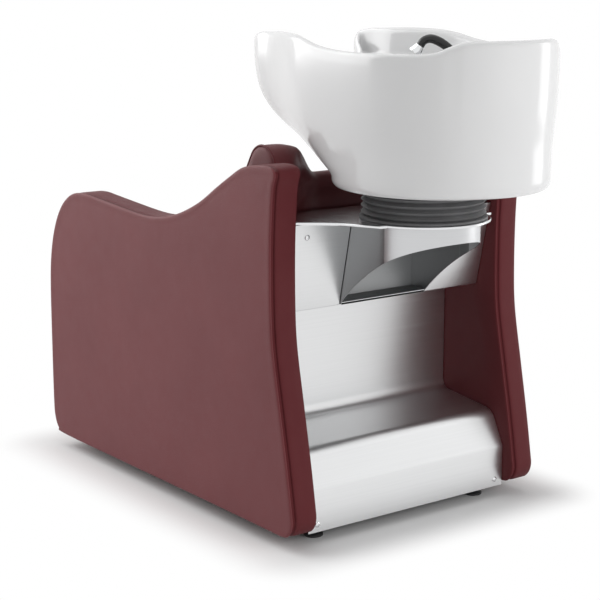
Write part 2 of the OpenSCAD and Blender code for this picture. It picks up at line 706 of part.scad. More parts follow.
// Section of the space between bowl and outer wall, open below, in the row b
function hollow_section(b) = let (v = unit(mouth_xy(b) - rim_xy(b)), z0 = bowl_z - eps,
    top = mouth_z(b) - (abs(b[0]) > 50 ? 3 : 1) * bowl_wall,
    zs = [for (f = [0, 0.3, 0.6, 1]) bowl_turn_z + f * (top - bowl_turn_z)],
    shift = bowl_wall * v)
    concat([up(base_xy(b, 2) + shift, z0)],
        [for (z = zs) wall_point(b, z, 0) + up(shift, 0)],
        [for (k = [3 : -1 : 0])
            let (q = bowl_point(b, (zs[k] - bowl_floor_z) / (mouth_z(b) - bowl_floor_z)))
            [q[0] - shift[0], q[1] - shift[1], zs[k]]],
        [up(floor_xy(b) - shift, z0)]);

module bowl_hollow() {
    reach = 10;
    m = len(bowl_loop);
    skin([for (k = [-reach : reach]) hollow_section(bowl_loop[(k + m) % m])]);
}

module basin() {
    foot = [[0, 16], [3, 7], [9, 2], [18, 0]];
    wall = [0.03, 0.08, 0.14, 0.22, 0.34, 0.5, 0.7, 0.86, 1];
    lip = [[1, 5], [5, 1], [10, 0], [16, 1.5], [21, 6], [24, 14]];
    bowl = [1, 0.93, 0.82, 0.66, 0.5, 0.34, 0.2, 0.09, 0.03, 0];
    color(ceramic) difference() {
        skin(concat(
            [for (f = foot) [for (b = bowl_loop) up(base_xy(b, f[1]), bowl_z + f[0])]],
            [for (w = wall) [for (b = bowl_loop)
                wall_point(b, bowl_turn_z + (rim_z(b) - 12 - bowl_turn_z) * w, 0)]],
            [for (e = lip) [for (b = bowl_loop) lip_point(b, e[0], e[1])]],
            [[for (b = bowl_loop) deck_point(b, 3, 0.88, 7)]],
            [[for (b = bowl_loop) deck_point(b, 10, 0.94, 0)]],
            [for (t = bowl) [for (b = bowl_loop) bowl_point(b, t)]]));
        bowl_hollow();
        translate([0, tilt_y, bowl_z - eps]) cylinder(r = tail_r + hole_gap, h = 4 * bowl_wall, $fn = 60);
        translate([-fitting_x, fitting_y, deck_z])
            cylinder(r = shank_r + hole_gap, h = 4 * bowl_wall, center = true, $fn = 48);
        translate([fitting_x, fitting_y, deck_z])
            cylinder(r = socket_r + hole_gap, h = 4 * bowl_wall, center = true, $fn = 48);
    }
}

// Waste fitting: a flange in the bowl, a tail through the saddle and a back nut
flange_r = 33;
flange_t = 3;
tail_wall = 2.5;
tail_foot = 585;
nut_t = 8;

module waste_fitting() {
    color(steel) translate([0, tilt_y, 0]) difference() {
        union() {
            translate([0, 0, bowl_floor_z + seat_gap])
                cylinder(r1 = flange_r, r2 = flange_r - 3, h = flange_t, $fn = 60);
            translate([0, 0, tail_foot]) cylinder(r = tail_r, h = bowl_floor_z - tail_foot + 1, $fn = 60);
            translate([0, 0, saddle_z - nut_t]) cylinder(r = tail_r + 7, h = nut_t, $fn = 60);
        }
        translate([0, 0, tail_foot - eps])
            cylinder(r = tail_r - tail_wall, h = bowl_z + 4 * bowl_wall - tail_foot, $fn = 60);
    }
}

// Hair strainer that lifts out of the waste
module strainer() {
    strainer_r = tail_r - tail_wall - hole_gap;
    deep = 14;
    cup_wall = 1.5;
    hole_r = 1.6;
    color("#d8dadd") translate([0, tilt_y, bowl_floor_z + flange_t + eps]) difference() {
        union() {
            translate([0, 0, -deep]) cylinder(r = strainer_r, h = deep, $fn = 48);
            cylinder(r = strainer_r + 4, h = 2, $fn = 48);
            cylinder(r = 4, h = 7, $fn = 32);
        }
        translate([0, 0, -deep - 1]) cylinder(r = strainer_r - cup_wall, h = deep + 1 - cup_wall, $fn = 48);
        for (a = [0 : 45 : 315]) rotate(a) translate([strainer_r * 0.55, 0, -deep])
            cylinder(r = hole_r, h = 2 * deep, $fn = 16);
    }
}

// Mixer: body on the deck, a cap that swivels for heat and a lever that lifts for flow
shank_r = 14;
shank_len = 45;
base_h = 5;
barrel_h = 17;
cap_z = deck_z + base_h + barrel_h + soft_gap;
cap_h = 12;
lever_pin_r = 2.5;
lever_z = cap_z + 7;

module mixer_body() {
    color(steel) translate([-fitting_x, fitting_y, deck_z]) {
        translate([0, 0, seat_gap]) cylinder(r = mixer_r + 5, h = base_h - seat_gap, $fn = 60);
        translate([0, 0, seat_gap]) cylinder(r = mixer_r, h = base_h + barrel_h - seat_gap, $fn = 60);
        translate([0, 0, -shank_len]) cylinder(r = shank_r, h = shank_len + 1, $fn = 48);
        translate([0, 0, -bowl_wall - nut_t]) cylinder(r = shank_r + 6, h = nut_t - seat_gap, $fn = 6);
    }
}

module mixer_cap() {
    slot_w = 12;
    color(steel) translate([-fitting_x, fitting_y, cap_z]) {
        difference() {
            cylinder(r = mixer_r - 1, h = cap_h, $fn = 60);
            translate([-slot_w / 2, -mixer_r - 1, 2]) cube([slot_w, mixer_r + 8, cap_h]);
        }
        translate([0, 0, lever_z - cap_z]) rotate([0, 90, 0])
            cylinder(r = lever_pin_r, h = slot_w + 4, center = true, $fn = 24);
    }
}

module mixer_lever() {
    lever_w = 11;
    lever_len = 62;
    hub_r = 4.5;
    color(steel) translate([-fitting_x, fitting_y, lever_z]) difference() {
        union() {
            rotate([0, 90, 0]) cylinder(r = hub_r, h = lever_w, center = true, $fn = 32);
            along_x(lever_w) polygon([[0, 0.5 - hub_r], [-lever_len, 3], [-lever_len - 2, 6],
                [-lever_len + 4, 8.5], [0, hub_r - 0.5]]);
        }
        rotate([0, 90, 0]) cylinder(r = lever_pin_r + run_gap, h = 20, center = true, $fn = 24);
    }
}

// Socket on the deck for the hand shower
socket_r = 13;
socket_top = deck_z + 17;
socket_foot = deck_z - shank_len;

module shower_socket() {
    color(steel) translate([fitting_x, fitting_y, 0]) difference() {
        union() {
            translate([0, 0, deck_z + seat_gap]) cylinder(r = socket_r + 6, h = base_h - seat_gap, $fn = 60);
            translate([0, 0, socket_foot]) cylinder(r = socket_r, h = socket_top - socket_foot, $fn = 60);
        }
        translate([0, 0, socket_foot - eps])
            cylinder(r = stem_r + run_gap, h = socket_top - socket_foot + 2 * eps, $fn = 48);
    }
}

// Hand shower: a stem in the socket, an arched neck and a spray head that looks into the bowl
neck_lift = 5;
neck_route = [[0, 0, 0], [2, -1, 7], [8, -6, 16], [17, -13, 25], [27, -21, 32], [37, -28, 35], [46, -35, 31],
    [51, -39, 22]];
neck_from = [fitting_x, fitting_y, socket_top + neck_lift];

// Ring of points round the route's point i
function neck_ring(i, r) = let (m = len(neck_route),
    d = unit(neck_route[min(i + 1, m - 1)] - neck_route[max(i - 1, 0)]),
    side = unit(cross(d, [0.6, 0.8, 0])), other = cross(side, d))
    [for (k = [0 : 11]) neck_from + neck_route[i] + r * (cos(30 * k) * side - sin(30 * k) * other)];

module hand_shower() {
    stem_foot = socket_foot + 5;
    color(black) {
        skin([for (i = [0 : len(neck_route) - 1]) neck_ring(i, neck_r)]);
        translate([fitting_x, fitting_y, stem_foot])
            cylinder(r = stem_r, h = socket_top + neck_lift + 1 - stem_foot, $fn = 48);
        translate([fitting_x, fitting_y, socket_top + soft_gap])
            cylinder(r = stem_r + 3, h = neck_lift, $fn = 48);
    }
}

module spray_head() {
    m = len(neck_route);
    tip = neck_from + neck_route[m - 1];
    d = unit(neck_route[m - 1] - neck_route[m - 2]);
    cone_h = 12;
    face_h = 4;
    color("#d8dadd") translate(tip) rotate([0, acos(d[2]), atan2(d[1], d[0])]) {
        cylinder(r1 = neck_r + 1, r2 = neck_r + 5, h = cone_h, $fn = 48);
        translate([0, 0, cone_h]) cylinder(r = neck_r + 5, h = face_h, $fn = 48);
    }
}

base_frame();
seat_frame();
rear_frame();
side_board_left();
side_board_right();
side_pad_left();
side_pad_right();
seat_board();
seat_cushion();
front_board();
front_pad();
backrest_board();
backrest_cushion();
lower_rear_cover();
upper_rear_cover();
pocket_tray();
top_plate();
cover_screws();
tilt_fork();
fork_bolts();
tilt_pins();
bellows();
foot_front_left();
foot_front_right();
foot_rear_left();
foot_rear_right();
basin();
tilt_saddle();
waste_fitting();
strainer();
mixer_body();
mixer_cap();
mixer_lever();
shower_socket();
hand_shower();
spray_head();
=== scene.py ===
import math

import bmesh
import bpy
from mathutils import Matrix, Vector, noise


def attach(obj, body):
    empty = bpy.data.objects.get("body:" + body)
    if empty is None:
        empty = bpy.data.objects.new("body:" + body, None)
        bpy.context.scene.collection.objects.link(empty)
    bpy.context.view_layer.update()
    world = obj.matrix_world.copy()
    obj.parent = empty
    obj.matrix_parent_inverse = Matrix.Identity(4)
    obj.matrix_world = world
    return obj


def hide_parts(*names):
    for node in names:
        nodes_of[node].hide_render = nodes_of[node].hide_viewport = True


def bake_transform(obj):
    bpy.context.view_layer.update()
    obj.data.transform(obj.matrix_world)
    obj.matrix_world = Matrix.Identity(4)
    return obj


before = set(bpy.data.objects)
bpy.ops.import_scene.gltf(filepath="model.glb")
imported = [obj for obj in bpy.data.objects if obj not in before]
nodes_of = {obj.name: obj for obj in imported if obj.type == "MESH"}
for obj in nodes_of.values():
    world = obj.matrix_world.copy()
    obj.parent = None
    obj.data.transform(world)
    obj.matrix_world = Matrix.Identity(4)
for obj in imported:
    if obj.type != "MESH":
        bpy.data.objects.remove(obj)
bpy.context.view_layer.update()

MM = 0.001

# Camera at the photograph's place, in metres; the picture is 600 pixels square
PICTURE = 600
CAM_AT = Vector((2.116, 2.757, 1.145))
CAM_TURN = math.radians(143.16)
CAM_PITCH = math.radians(11.87)
FOCAL_PX = 1622.0
SENSOR_MM = 36.0

# Main sizes shared with the part, in metres; the gap between seated pieces is in millimetres
OUTER_X = 0.330
INNER_X = 0.265
COVER_X = 0.264
CUSHION_X = 0.262
SHEET = 0.0015
PLATE_Z = 0.642
PLATE_T = 0.005
TAIL_HOLE_R = 0.036
TILT_Y = 0.343
SKIRT_R = 0.114
SADDLE_Z = 0.704
SEAT_GAP = 0.3
DECK_Z = 0.945
FITTING = Vector((0.080, 0.515, DECK_Z))


def new_object(name, data):
    made = bpy.data.objects.new(name, data)
    bpy.context.scene.collection.objects.link(made)
    return made


def set_all(thing, **values):
    for key, value in values.items():
        setattr(thing, key, value)
    return thing


def make_camera():
    cam = new_object("Camera", bpy.data.cameras.new("Camera"))
    cam.data.sensor_width = SENSOR_MM
    cam.data.lens = FOCAL_PX * SENSOR_MM / PICTURE
    cam.data.clip_end = 100
    cam.location = CAM_AT
    cam.rotation_euler = (math.pi / 2 - CAM_PITCH, 0, CAM_TURN)
    bpy.context.scene.camera = cam


make_camera()


# Node materials

class Shader:
    """A Principled material whose colour, roughness and bump come from procedural nodes."""

    def __init__(self, name, color, rough, metallic=0.0):
        self.mat = bpy.data.materials.new(name)
        self.mat.use_nodes = True
        self.tree = self.mat.node_tree
        self.bsdf = self.tree.nodes["Principled BSDF"]
        self.bsdf.inputs["Base Color"].default_value = (*color, 1)
        self.bsdf.inputs["Roughness"].default_value = rough
        self.bsdf.inputs["Metallic"].default_value = metallic
        self.coords = self.node("ShaderNodeTexCoord").outputs["Object"]
        self.height = None

    def node(self, kind, **values):
        return set_all(self.tree.nodes.new(kind), **values)

    def link(self, a, b):
        self.tree.links.new(a, b)

    def mapped(self, scale):
        made = self.node("ShaderNodeMapping")
        made.inputs["Scale"].default_value = scale
        self.link(self.coords, made.inputs["Vector"])
        return made.outputs["Vector"]

    def noise(self, scale, detail=3.0, stretch=None):
        made = self.node("ShaderNodeTexNoise")
        made.inputs["Scale"].default_value = scale
        made.inputs["Detail"].default_value = detail
        self.link(self.mapped(stretch) if stretch else self.coords, made.inputs["Vector"])
        return made.outputs["Fac"]

    def cells(self, scale):
        made = self.node("ShaderNodeTexVoronoi")
        made.inputs["Scale"].default_value = scale
        self.link(self.coords, made.inputs["Vector"])
        return made.outputs["Distance"]

    def mottled(self, low, high, scale, detail=3.0, stretch=None, start=0.3):
        """Base colour that drifts between two tones."""
        made = self.node("ShaderNodeValToRGB")
        for element, place, color in zip(made.color_ramp.elements, (start, 1 - start), (low, high)):
            element.position = place
            element.color = (*color, 1)
        self.link(self.noise(scale, detail, stretch), made.inputs["Fac"])
        self.link(made.outputs["Color"], self.bsdf.inputs["Base Color"])

    def worn(self, low, high, scale, detail=3.0, stretch=None):
        """Roughness that drifts between two values."""
        made = self.node("ShaderNodeMapRange")
        made.inputs["To Min"].default_value = low
        made.inputs["To Max"].default_value = high
        self.link(self.noise(scale, detail, stretch), made.inputs["Value"])
        self.link(made.outputs["Result"], self.bsdf.inputs["Roughness"])

    def vector_math(self, operation, a, b=(0, 0, 0)):
        """Outputs of a vector node on a socket and a fixed vector."""
        made = self.node("ShaderNodeVectorMath", operation=operation)
        self.link(a, made.inputs[0])
        made.inputs[1].default_value = b
        return made.outputs

    def bump(self, source, distance, strength=1.0):
        made = self.node("ShaderNodeBump")
        made.inputs["Strength"].default_value = strength
        made.inputs["Distance"].default_value = distance
        self.link(source, made.inputs["Height"])
        if self.height is not None:
            self.link(self.height, made.inputs["Normal"])
        self.height = made.outputs["Normal"]
        self.link(self.height, self.bsdf.inputs["Normal"])


def vinyl_material(name, low, high, rough, gloss):
    """Upholstery vinyl: pebbled grain, faint mottling and a satin surface."""
    s = Shader(name, high, rough)
    s.mottled(low, high, 5.5, 4.0)
    s.worn(rough - 0.05, rough + 0.07, 38.0)
    s.bump(s.cells(900.0), 0.0005, 0.45)
    s.bump(s.noise(420.0, 4.0), 0.0004, 0.35)
    s.bump(s.noise(14.0, 2.0), 0.0012, 0.22)
    s.bsdf.inputs["Specular IOR Level"].default_value = gloss
    return s.mat


def steel_material(name, tone, rough, grain=(3.0, 420.0, 420.0)):
    """Stainless sheet with a fine brushed grain."""
    s = Shader(name, tone, rough, 1.0)
    s.mottled([c * 0.965 for c in tone], tone, 1.0, 6.0, grain)
    s.worn(rough - 0.06, rough + 0.10, 1.0, 4.0, grain)
    s.bump(s.noise(1.0, 5.0, grain), 0.00012, 0.14)
    return s.mat


def ceramic_material():
    """White glazed ceramic: a faint orange-peel in the glaze under a clear coat."""
    s = Shader("glazed_ceramic", (0.74, 0.74, 0.74), 0.18)
    s.mottled((0.725, 0.726, 0.73), (0.745, 0.745, 0.747), 3.0)
    s.worn(0.12, 0.20, 20.0, 2.0)
    s.bump(s.noise(55.0, 2.0), 0.0006, 0.05)
    s.bsdf.inputs["Coat Weight"].default_value = 0.45
    s.bsdf.inputs["Coat Roughness"].default_value = 0.15
    return s.mat


def rubber_material():
    s = Shader("bellows_rubber", (0.155, 0.155, 0.158), 0.5)
    s.mottled((0.142, 0.142, 0.145), (0.178, 0.178, 0.182), 30.0, 4.0)
    s.worn(0.46, 0.64, 60.0)
    s.bump(s.noise(700.0, 3.0), 0.0004, 0.3)
    return s.mat


def chrome_material():
    s = Shader("chrome_plate", (0.78, 0.79, 0.80), 0.07, 1.0)
    s.worn(0.04, 0.12, 160.0)
    s.bump(s.noise(90.0, 2.0), 0.0001, 0.05)
    return s.mat


def plastic_material(name, tone, rough, pebble=0.2):
    s = Shader(name, tone, rough)
    low, high = ([c * share for c in tone] for share in (0.85, 1.15))
    s.mottled(low, high, 40.0)
    s.worn(rough - 0.05, rough + 0.08, 90.0)
    s.bump(s.noise(900.0, 2.0), 0.0003, pebble)
    return s.mat


def plywood_material():
    s = Shader("birch_plywood", (0.62, 0.46, 0.30), 0.62)
    s.mottled((0.50, 0.35, 0.21), (0.70, 0.54, 0.36), 1.0, 6.0, (6.0, 90.0, 120.0), start=0.25)
    s.bump(s.noise(1.0, 4.0, (8.0, 160.0, 200.0)), 0.0004, 0.3)
    return s.mat


def paint_material():
    s = Shader("powder_coat", (0.05, 0.05, 0.055), 0.5)
    s.mottled((0.040, 0.040, 0.044), (0.062, 0.062, 0.068), 60.0)
    s.worn(0.42, 0.58, 80.0)
    s.bump(s.noise(1400.0, 2.0), 0.0003, 0.35)
    return s.mat


VINYL = vinyl_material("burgundy_vinyl", (0.128, 0.023, 0.027), (0.144, 0.029, 0.033), 0.50, 0.34)
# Darker copy of the burgundy vinyl, a painted shade for the panels' edge band, recess and inner face and for
# the welt cords.
EDGE_VINYL_PAINTED_SHADE = vinyl_material("edge_vinyl", (0.086, 0.009, 0.012), (0.098, 0.012, 0.015), 0.55, 0.26)
# Darker copy of the burgundy vinyl, a painted shade for the seat, backrest and front pad.
SEAT_VINYL_PAINTED_SHADE = vinyl_material("seat_vinyl", (0.096, 0.014, 0.017), (0.110, 0.019, 0.022), 0.50, 0.32)
STEEL = steel_material("brushed_stainless", (0.79, 0.795, 0.80), 0.31)
# Darker copies of the stainless for the skirt: a painted shade under the plate and basin, deepest on the
# skirt's flat sides; the vertical grain is the skirt's own.
SKIRT_STEEL_PAINTED_SHADE = steel_material("skirt_stainless_painted_shade", (0.64, 0.645, 0.655), 0.34, (3.0, 3.0, 420.0))
SKIRT_SIDE_PAINTED_SHADE = steel_material("skirt_side_painted_shade", (0.31, 0.315, 0.32), 0.34, (3.0, 3.0, 420.0))
# Darker copy of the stainless, a painted shade inside the pocket tray and on its cheeks.
TRAY_PAINTED_SHADE = steel_material("tray_stainless_painted_shade", (0.36, 0.365, 0.37), 0.42)
# Polished stainless for the plate, screws, bolts and pins; on the skirt's edge faces and the tray's lip it is
# a painted highlight.
POLISHED_STEEL_AND_HIGHLIGHT = steel_material("polished_stainless_and_painted_highlight", (0.80, 0.805, 0.815), 0.20, (300.0, 4.0, 300.0))
CERAMIC = ceramic_material()
RUBBER = rubber_material()
CHROME = chrome_material()
BLACK_GLOSS = plastic_material("black_gloss", (0.004, 0.004, 0.0045), 0.22, 0.05)
BLACK_PLASTIC = plastic_material("black_plastic", (0.022, 0.022, 0.023), 0.5)
PLYWOOD = plywood_material()
PAINT = paint_material()


# Mesh helpers

def new_piece(name, verts, faces, material, sharp_deg=38.0):
    mesh = bpy.data.meshes.new(name)
    mesh.from_pydata([tuple(v) for v in verts], [], faces)
    mesh.validate()
    made = bmesh.new()
    made.from_mesh(mesh)
    bmesh.ops.remove_doubles(made, verts=made.verts, dist=1e-6)
    bmesh.ops.recalc_face_normals(made, faces=made.faces)
    made.to_mesh(mesh)
    made.free()
    piece = new_object(name, mesh)
    mesh.materials.append(material)
    mesh.shade_smooth()
    mesh.set_sharp_from_angle(angle=math.radians(sharp_deg))
    return piece


def ring_faces(count, n, loop):
    """Faces between rings of n points, which close on the first ring or end in caps."""
    faces = []
    for k in range(count if loop else count - 1):
        a, b = k * n, ((k + 1) % count) * n
        for i in range(n):
            j = (i + 1) % n
            faces.append((a + i, a + j, b + j, b + i))
    if not loop:
        faces.append(tuple(range(n))[::-1])
        faces.append(tuple((count - 1) * n + i for i in range(n)))
    return faces


def skin(name, rings, material, loop=False, sharp_deg=38.0):
    """Surface through rings of equal length."""
    verts = [p for r in rings for p in r]
    return new_piece(name, verts, ring_faces(len(rings), len(rings[0]), loop), material, sharp_deg)


def lathe(name, profile, material, at, n=64, loop=False, turn=None, sharp_deg=38.0):
    """Solid of revolution about Z through `at`; profile is [(radius, height)] in millimetres."""
    turns = [2 * math.pi * i / n for i in range(n)]
    rings = [[Vector((r * math.cos(a), r * math.sin(a), z)) * MM for a in turns] for r, z in profile]
    place = Matrix.Translation(at) @ (turn.to_4x4() if turn else Matrix.Identity(4))
    return skin(name, [[place @ p for p in r] for r in rings], material, loop, sharp_deg)


def rounded(corners, radius, steps=4, closed=True):
    """Polyline with its corners rounded, in 2D; radius is one number or one for each corner."""
    out, m = [], len(corners)
    for i, b in enumerate(corners):
        r = radius[i] if isinstance(radius, (list, tuple)) else radius
        if (not closed and i in (0, m - 1)) or r <= 0:
            out.append(Vector(b))
            continue
        b = Vector(b)
        u = (Vector(corners[i - 1]) - b).normalized()
        v = (Vector(corners[(i + 1) % m]) - b).normalized()
        half = u.angle(v) / 2
        reach = r / math.tan(half)
        mid = b + (u + v).normalized() * r / math.sin(half)
        p, q = b + u * reach - mid, b + v * reach - mid
        for k in range(steps + 1):
            out.append(mid + p.slerp(q, k / steps).normalized() * r)
    return out


def prism(name, outline, low, high, material, bevel=0.0):
    """Extrusion of a (y, z) outline in millimetres, from x = low to x = high in metres."""
    rings = [[Vector((x, p[0] * MM, p[1] * MM)) for p in outline] for x in (low, high)]
    piece = skin(name, rings, material, sharp_deg=25)
    if bevel:
        add_bevel(piece, bevel)
    return piece


def add_bevel(piece, width):
    set_all(piece.modifiers.new("Edge", "BEVEL"), width=width, segments=2, limit_method="ANGLE",
            angle_limit=math.radians(40), harden_normals=True)


def tube(name, points, radius, material, n=12, closed=False):
    """Round tube through 3D points, with flat ends or closed on itself."""
    m = len(points)
    rings, up = [], None
    for i, p in enumerate(points):
        before = points[i - 1] if closed or i > 0 else p
        after = points[(i + 1) % m] if closed or i < m - 1 else p
        d = (after - before).normalized()
        if up is None:
            up = d.orthogonal().normalized()
        up = (up - d * up.dot(d)).normalized()
        side = d.cross(up)
        r = radius(i / (m - 1)) if callable(radius) else radius
        rings.append([p + r * (math.cos(a) * up + math.sin(a) * side)
                      for a in (2 * math.pi * k / n for k in range(n))])
    return skin(name, rings, material, loop=closed)


def apply_modifiers(piece):
    deps = bpy.context.evaluated_depsgraph_get()
    made = bpy.data.meshes.new_from_object(piece.evaluated_get(deps))
    old = piece.data
    piece.modifiers.clear()
    piece.data = made
    bpy.data.meshes.remove(old)


def join(name, parts):
    """One piece out of several, which share a body."""
    made = bmesh.new()
    materials = []
    for part in parts:
        if part.modifiers:
            apply_modifiers(part)
        start = len(made.faces)
        made.from_mesh(part.data)
        made.faces.ensure_lookup_table()
        own = list(part.data.materials)
        materials += [mat for mat in own if mat not in materials]
        for f in made.faces[start:]:
            f.material_index = materials.index(own[f.material_index])
    mesh = bpy.data.meshes.new(name)
    made.to_mesh(mesh)
    made.free()
    for mat in materials:
        mesh.materials.append(mat)
    for part in parts:
        bpy.data.objects.remove(part)
    return new_object(name, mesh)


def finish_piece(piece, body, slot, *nodes):
    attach(piece, body)
    if nodes:
        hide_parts(*nodes)


def catmull(quad, t):
    """Point at share t between the middle two of four tuples, on a Catmull-Rom curve."""
    return tuple(0.5 * (2 * q + (r - p) * t + (2 * p - 5 * q + 4 * r - s) * t * t
                        + (3 * q - p - 3 * r + s) * t ** 3)
                 for p, q, r, s in zip(*quad))


def smooth_loop(points, steps):
    """Smooth curve round a closed loop of tuples."""
    m, out = len(points), []
    for i in range(m):
        quad = [points[(i + k) % m] for k in (-1, 0, 1, 2)]
        out += [catmull(quad, k / steps) for k in range(steps)]
    return out


def smooth_open(points, steps, straight=lambda b, c: False):
    """Smooth curve through an open row of tuples; straight(b, c) leaves a stretch undivided."""
    m, out = len(points), []
    for i in range(m - 1):
        quad = [points[min(max(i + k, 0), m - 1)] for k in (-1, 0, 1, 2)]
        count = 1 if straight(quad[1], quad[2]) else steps
        out += [catmull(quad, k / steps) for k in range(count)]
    return out + [points[-1]]


def inset(loop, d):
    """Moves each point of an anticlockwise 2D loop inwards."""
    out, m = [], len(loop)
    for i, p in enumerate(loop):
        t = (Vector(loop[(i + 1) % m]) - Vector(loop[i - 1])).normalized()
        out.append(Vector(p) + d * Vector((-t.y, t.x)))
    return out


def arc_resample(loop, count):
    """Evenly spaced points round a closed 2D or 3D loop."""
    pts = [Vector(p) for p in loop]
    lengths = [(pts[(i + 1) % len(pts)] - p).length for i, p in enumerate(pts)]
    step, out, i, done = sum(lengths) / count, [], 0, 0.0
    for k in range(count):
        want = k * step
        while done + lengths[i] < want:
            done += lengths[i]
            i += 1
        out.append(pts[i].lerp(pts[(i + 1) % len(pts)], (want - done) / lengths[i]))
    return out


def clamp(t):
    return max(0.0, min(1.0, t))


def ease(t):
    t = clamp(t)
    return t * t * (3 - 2 * t)


# Basin

# Right half from the rear centre to the neck centre, in millimetres:
# angle on the base circle, rim x, rim y, rim z, mouth x, mouth y
BOWL_HALF = [
    (0, 0, 618, 1000, 0, 462), (15, 57, 611, 1000, 50, 462), (30, 110, 588.5, 999, 96, 459),
    (38, 135, 571, 990, 120, 456), (46, 158, 551, 979, 142, 450), (60, 190.5, 508, 976, 166, 432),
    (75, 212.5, 455, 976, 180, 405), (90, 220, 398, 976, 187, 372), (97, 221, 350, 977, 189, 335),
    (104, 220.5, 300, 980, 189, 295), (112, 218, 255, 986, 188, 255), (120, 212, 212, 995, 183, 215),
    (129, 201, 170, 1001, 172, 176), (138, 178, 104, 1003, 152, 114), (146, 165, 63, 1002, 141, 78),
    (153, 154, 20, 1000, 132, 50), (158, 147, -18, 998, 127, 34), (161, 136, -44, 990, 121, 30),
    (164, 120, -32, 974, 115, 34), (167, 106, -6, 955, 106, 42), (171, 84, 16, 925, 88, 60),
    (176, 46, 34, 890, 50, 79), (180, 0, 40, 876, 0, 84)
]
BOWL_C = Vector((0, 398))
BOWL_BASE_R = 210.0
BOWL_Z = 710.0
BOWL_TURN_Z = 735.0
BOWL_RISE = 250.0
BOWL_WALL = 14.0
BOWL_FLOOR = 732.0
FLOOR_C = Vector((0, 335))
FLOOR_HALF = (135.0, 95.0)
LIP_W = 24.0
LIP_H = 12.0
WASTE_HOLE_R = 20.3
WASTE_DISH_R = 34.0
WASTE_SEAT_R = 30.0
MOUTH_DROP = 36
WALL_POWER, POWER_CHANGE = 2.4, 0.8
ROOT_WIDER = 8
# Start and width of each change along the wall, in degrees from the rear centre
DECK_SIDE, HOLLOW_END, WING = (42, 16), (92, 18), (92, 30)
ROOT_START, ROOT_END, NECK = (82, 38), (138, 36), (120, 45)
# Share of the sweep at which the wall starts to follow the rim alone, and the width of the change
SOFT_END, SOFT_WIDTH = 0.97, 0.62
WALL_RINGS, WALL_CROWD = 24, 1.25
BOWL_RINGS, BOWL_CROWD = 26, 1.15
DECK_HOLE_R = {-1: 14.3, 1: 13.3}


def bowl_rows(steps):
    """Rows of both halves, with as many steps between the ones that are given."""
    half = [tuple(float(v) for v in b) for b in BOWL_HALF]
    left = [(360.0 - b[0], -b[1], b[2], b[3], -b[4], b[5]) for b in half[-2:0:-1]]
    whole = half + left
    before = [(whole[-1][0] - 360.0,) + whole[-1][1:]]
    after = [(b[0] + 360.0,) + b[1:] for b in whole[:2]]
    loop = before + whole + after
    return [catmull(loop[i:i + 4], k / steps) for i in range(len(whole)) for k in range(steps)]


def sweep(b, z):
    """How far the wall has swept from the base circle to the rim; it bulges more under the wings."""
    power = WALL_POWER + POWER_CHANGE * along(b, WING)
    return 1 - (1 - clamp((z - BOWL_TURN_Z) / BOWL_RISE)) ** power


def base_xy(b, d):
    """Point on the lower edge, which runs a little wider under the wings' roots."""
    a = math.radians(b[0])
    wide = ROOT_WIDER * ease(along(b, ROOT_START)) * ease(1 - along(b, ROOT_END))
    return BOWL_C + (BOWL_BASE_R + wide - d) * Vector((math.sin(a), math.cos(a)))


def floor_xy(b):
    a = math.radians(b[0])
    return FLOOR_C + Vector((FLOOR_HALF[0] * math.sin(a), FLOOR_HALF[1] * math.cos(a)))


def rim_xy(b):
    return Vector((b[1], b[2]))


def mouth_xy(b):
    return Vector((b[4], b[5]))


def mouth_z(b):
    return min(DECK_Z * 1000, b[3] - MOUTH_DROP)


def along(b, change):
    """Share of a change that a row has passed, by its angle of 0 to 180 from the rear centre."""
    start, width = change
    return clamp((abs((b[0] + 180) % 360 - 180) - start) / width)


def soft_rims(rows, reach=14, width=6.5):
    """The rim's plan averaged over neighbouring rows, for the wall well below the rim."""
    m, soft = len(rows), {}
    weights = [(k, math.exp(-(k / width) ** 2 / 2)) for k in range(-reach, reach + 1)]
    total = sum(w for _, w in weights)
    for i, b in enumerate(rows):
        mean = Vector((0, 0))
        for k, w in weights:
            mean += rim_xy(rows[(i + k) % m]) * (w / total)
        soft[b] = mean
    return soft


def raised(p, z):
    return Vector((p.x, p.y, z))


def wall_xyz(b, z, soft, shift=0.0):
    """Point of the outer wall at a height z, moved inwards by shift."""
    f = min(1.0, sweep(b, z) / sweep(b, b[3] - LIP_H))
    inward = (mouth_xy(b) - rim_xy(b)).normalized()
    out = rim_xy(b).lerp(soft[b], ease((SOFT_END - f) / SOFT_WIDTH))
    return raised(base_xy(b, 0).lerp(out, f) + inward * shift, z)


def bowl_xyz(b, t, shift=0.0):
    """Point inside the bowl at a share t of the way from the floor to the mouth."""
    power = WALL_POWER - POWER_CHANGE * along(b, NECK)
    f = 1 - (1 - t) ** power
    inward = (mouth_xy(b) - rim_xy(b)).normalized()
    z = BOWL_FLOOR + (mouth_z(b) - BOWL_FLOOR) * t
    return raised(floor_xy(b).lerp(mouth_xy(b), f) - inward * shift, z)


def lip_xyz(b, d, down):
    v = mouth_xy(b) - rim_xy(b)
    return raised(rim_xy(b) + v.normalized() * min(d, 0.82 * v.length * d / LIP_W), b[3] - down)


def deck_xyz(b, d, share, rise):
    v = mouth_xy(b) - rim_xy(b)
    return raised(rim_xy(b) + v.normalized() * min(LIP_W + d, share * v.length), mouth_z(b) + rise)


def hollow_z(b, share):
    """Height at a share of the open space under the deck and behind the sides of the bowl."""
    open_share = 1 - ease(along(b, HOLLOW_END))
    drop = BOWL_WALL + 2 * BOWL_WALL * ease(along(b, DECK_SIDE))
    return BOWL_Z + open_share * (mouth_z(b) - drop - BOWL_Z) * share


def under_bowl(b, z):
    """Point on the bowl's outside, within the hollow."""
    t = max(0.0, (z - BOWL_FLOOR) / (mouth_z(b) - BOWL_FLOOR))
    return raised(bowl_xyz(b, t, BOWL_WALL), z)


def hole_xy(b, r):
    centre = Vector((0, TILT_Y * 1000))
    return centre + (floor_xy(b) - centre).normalized() * r


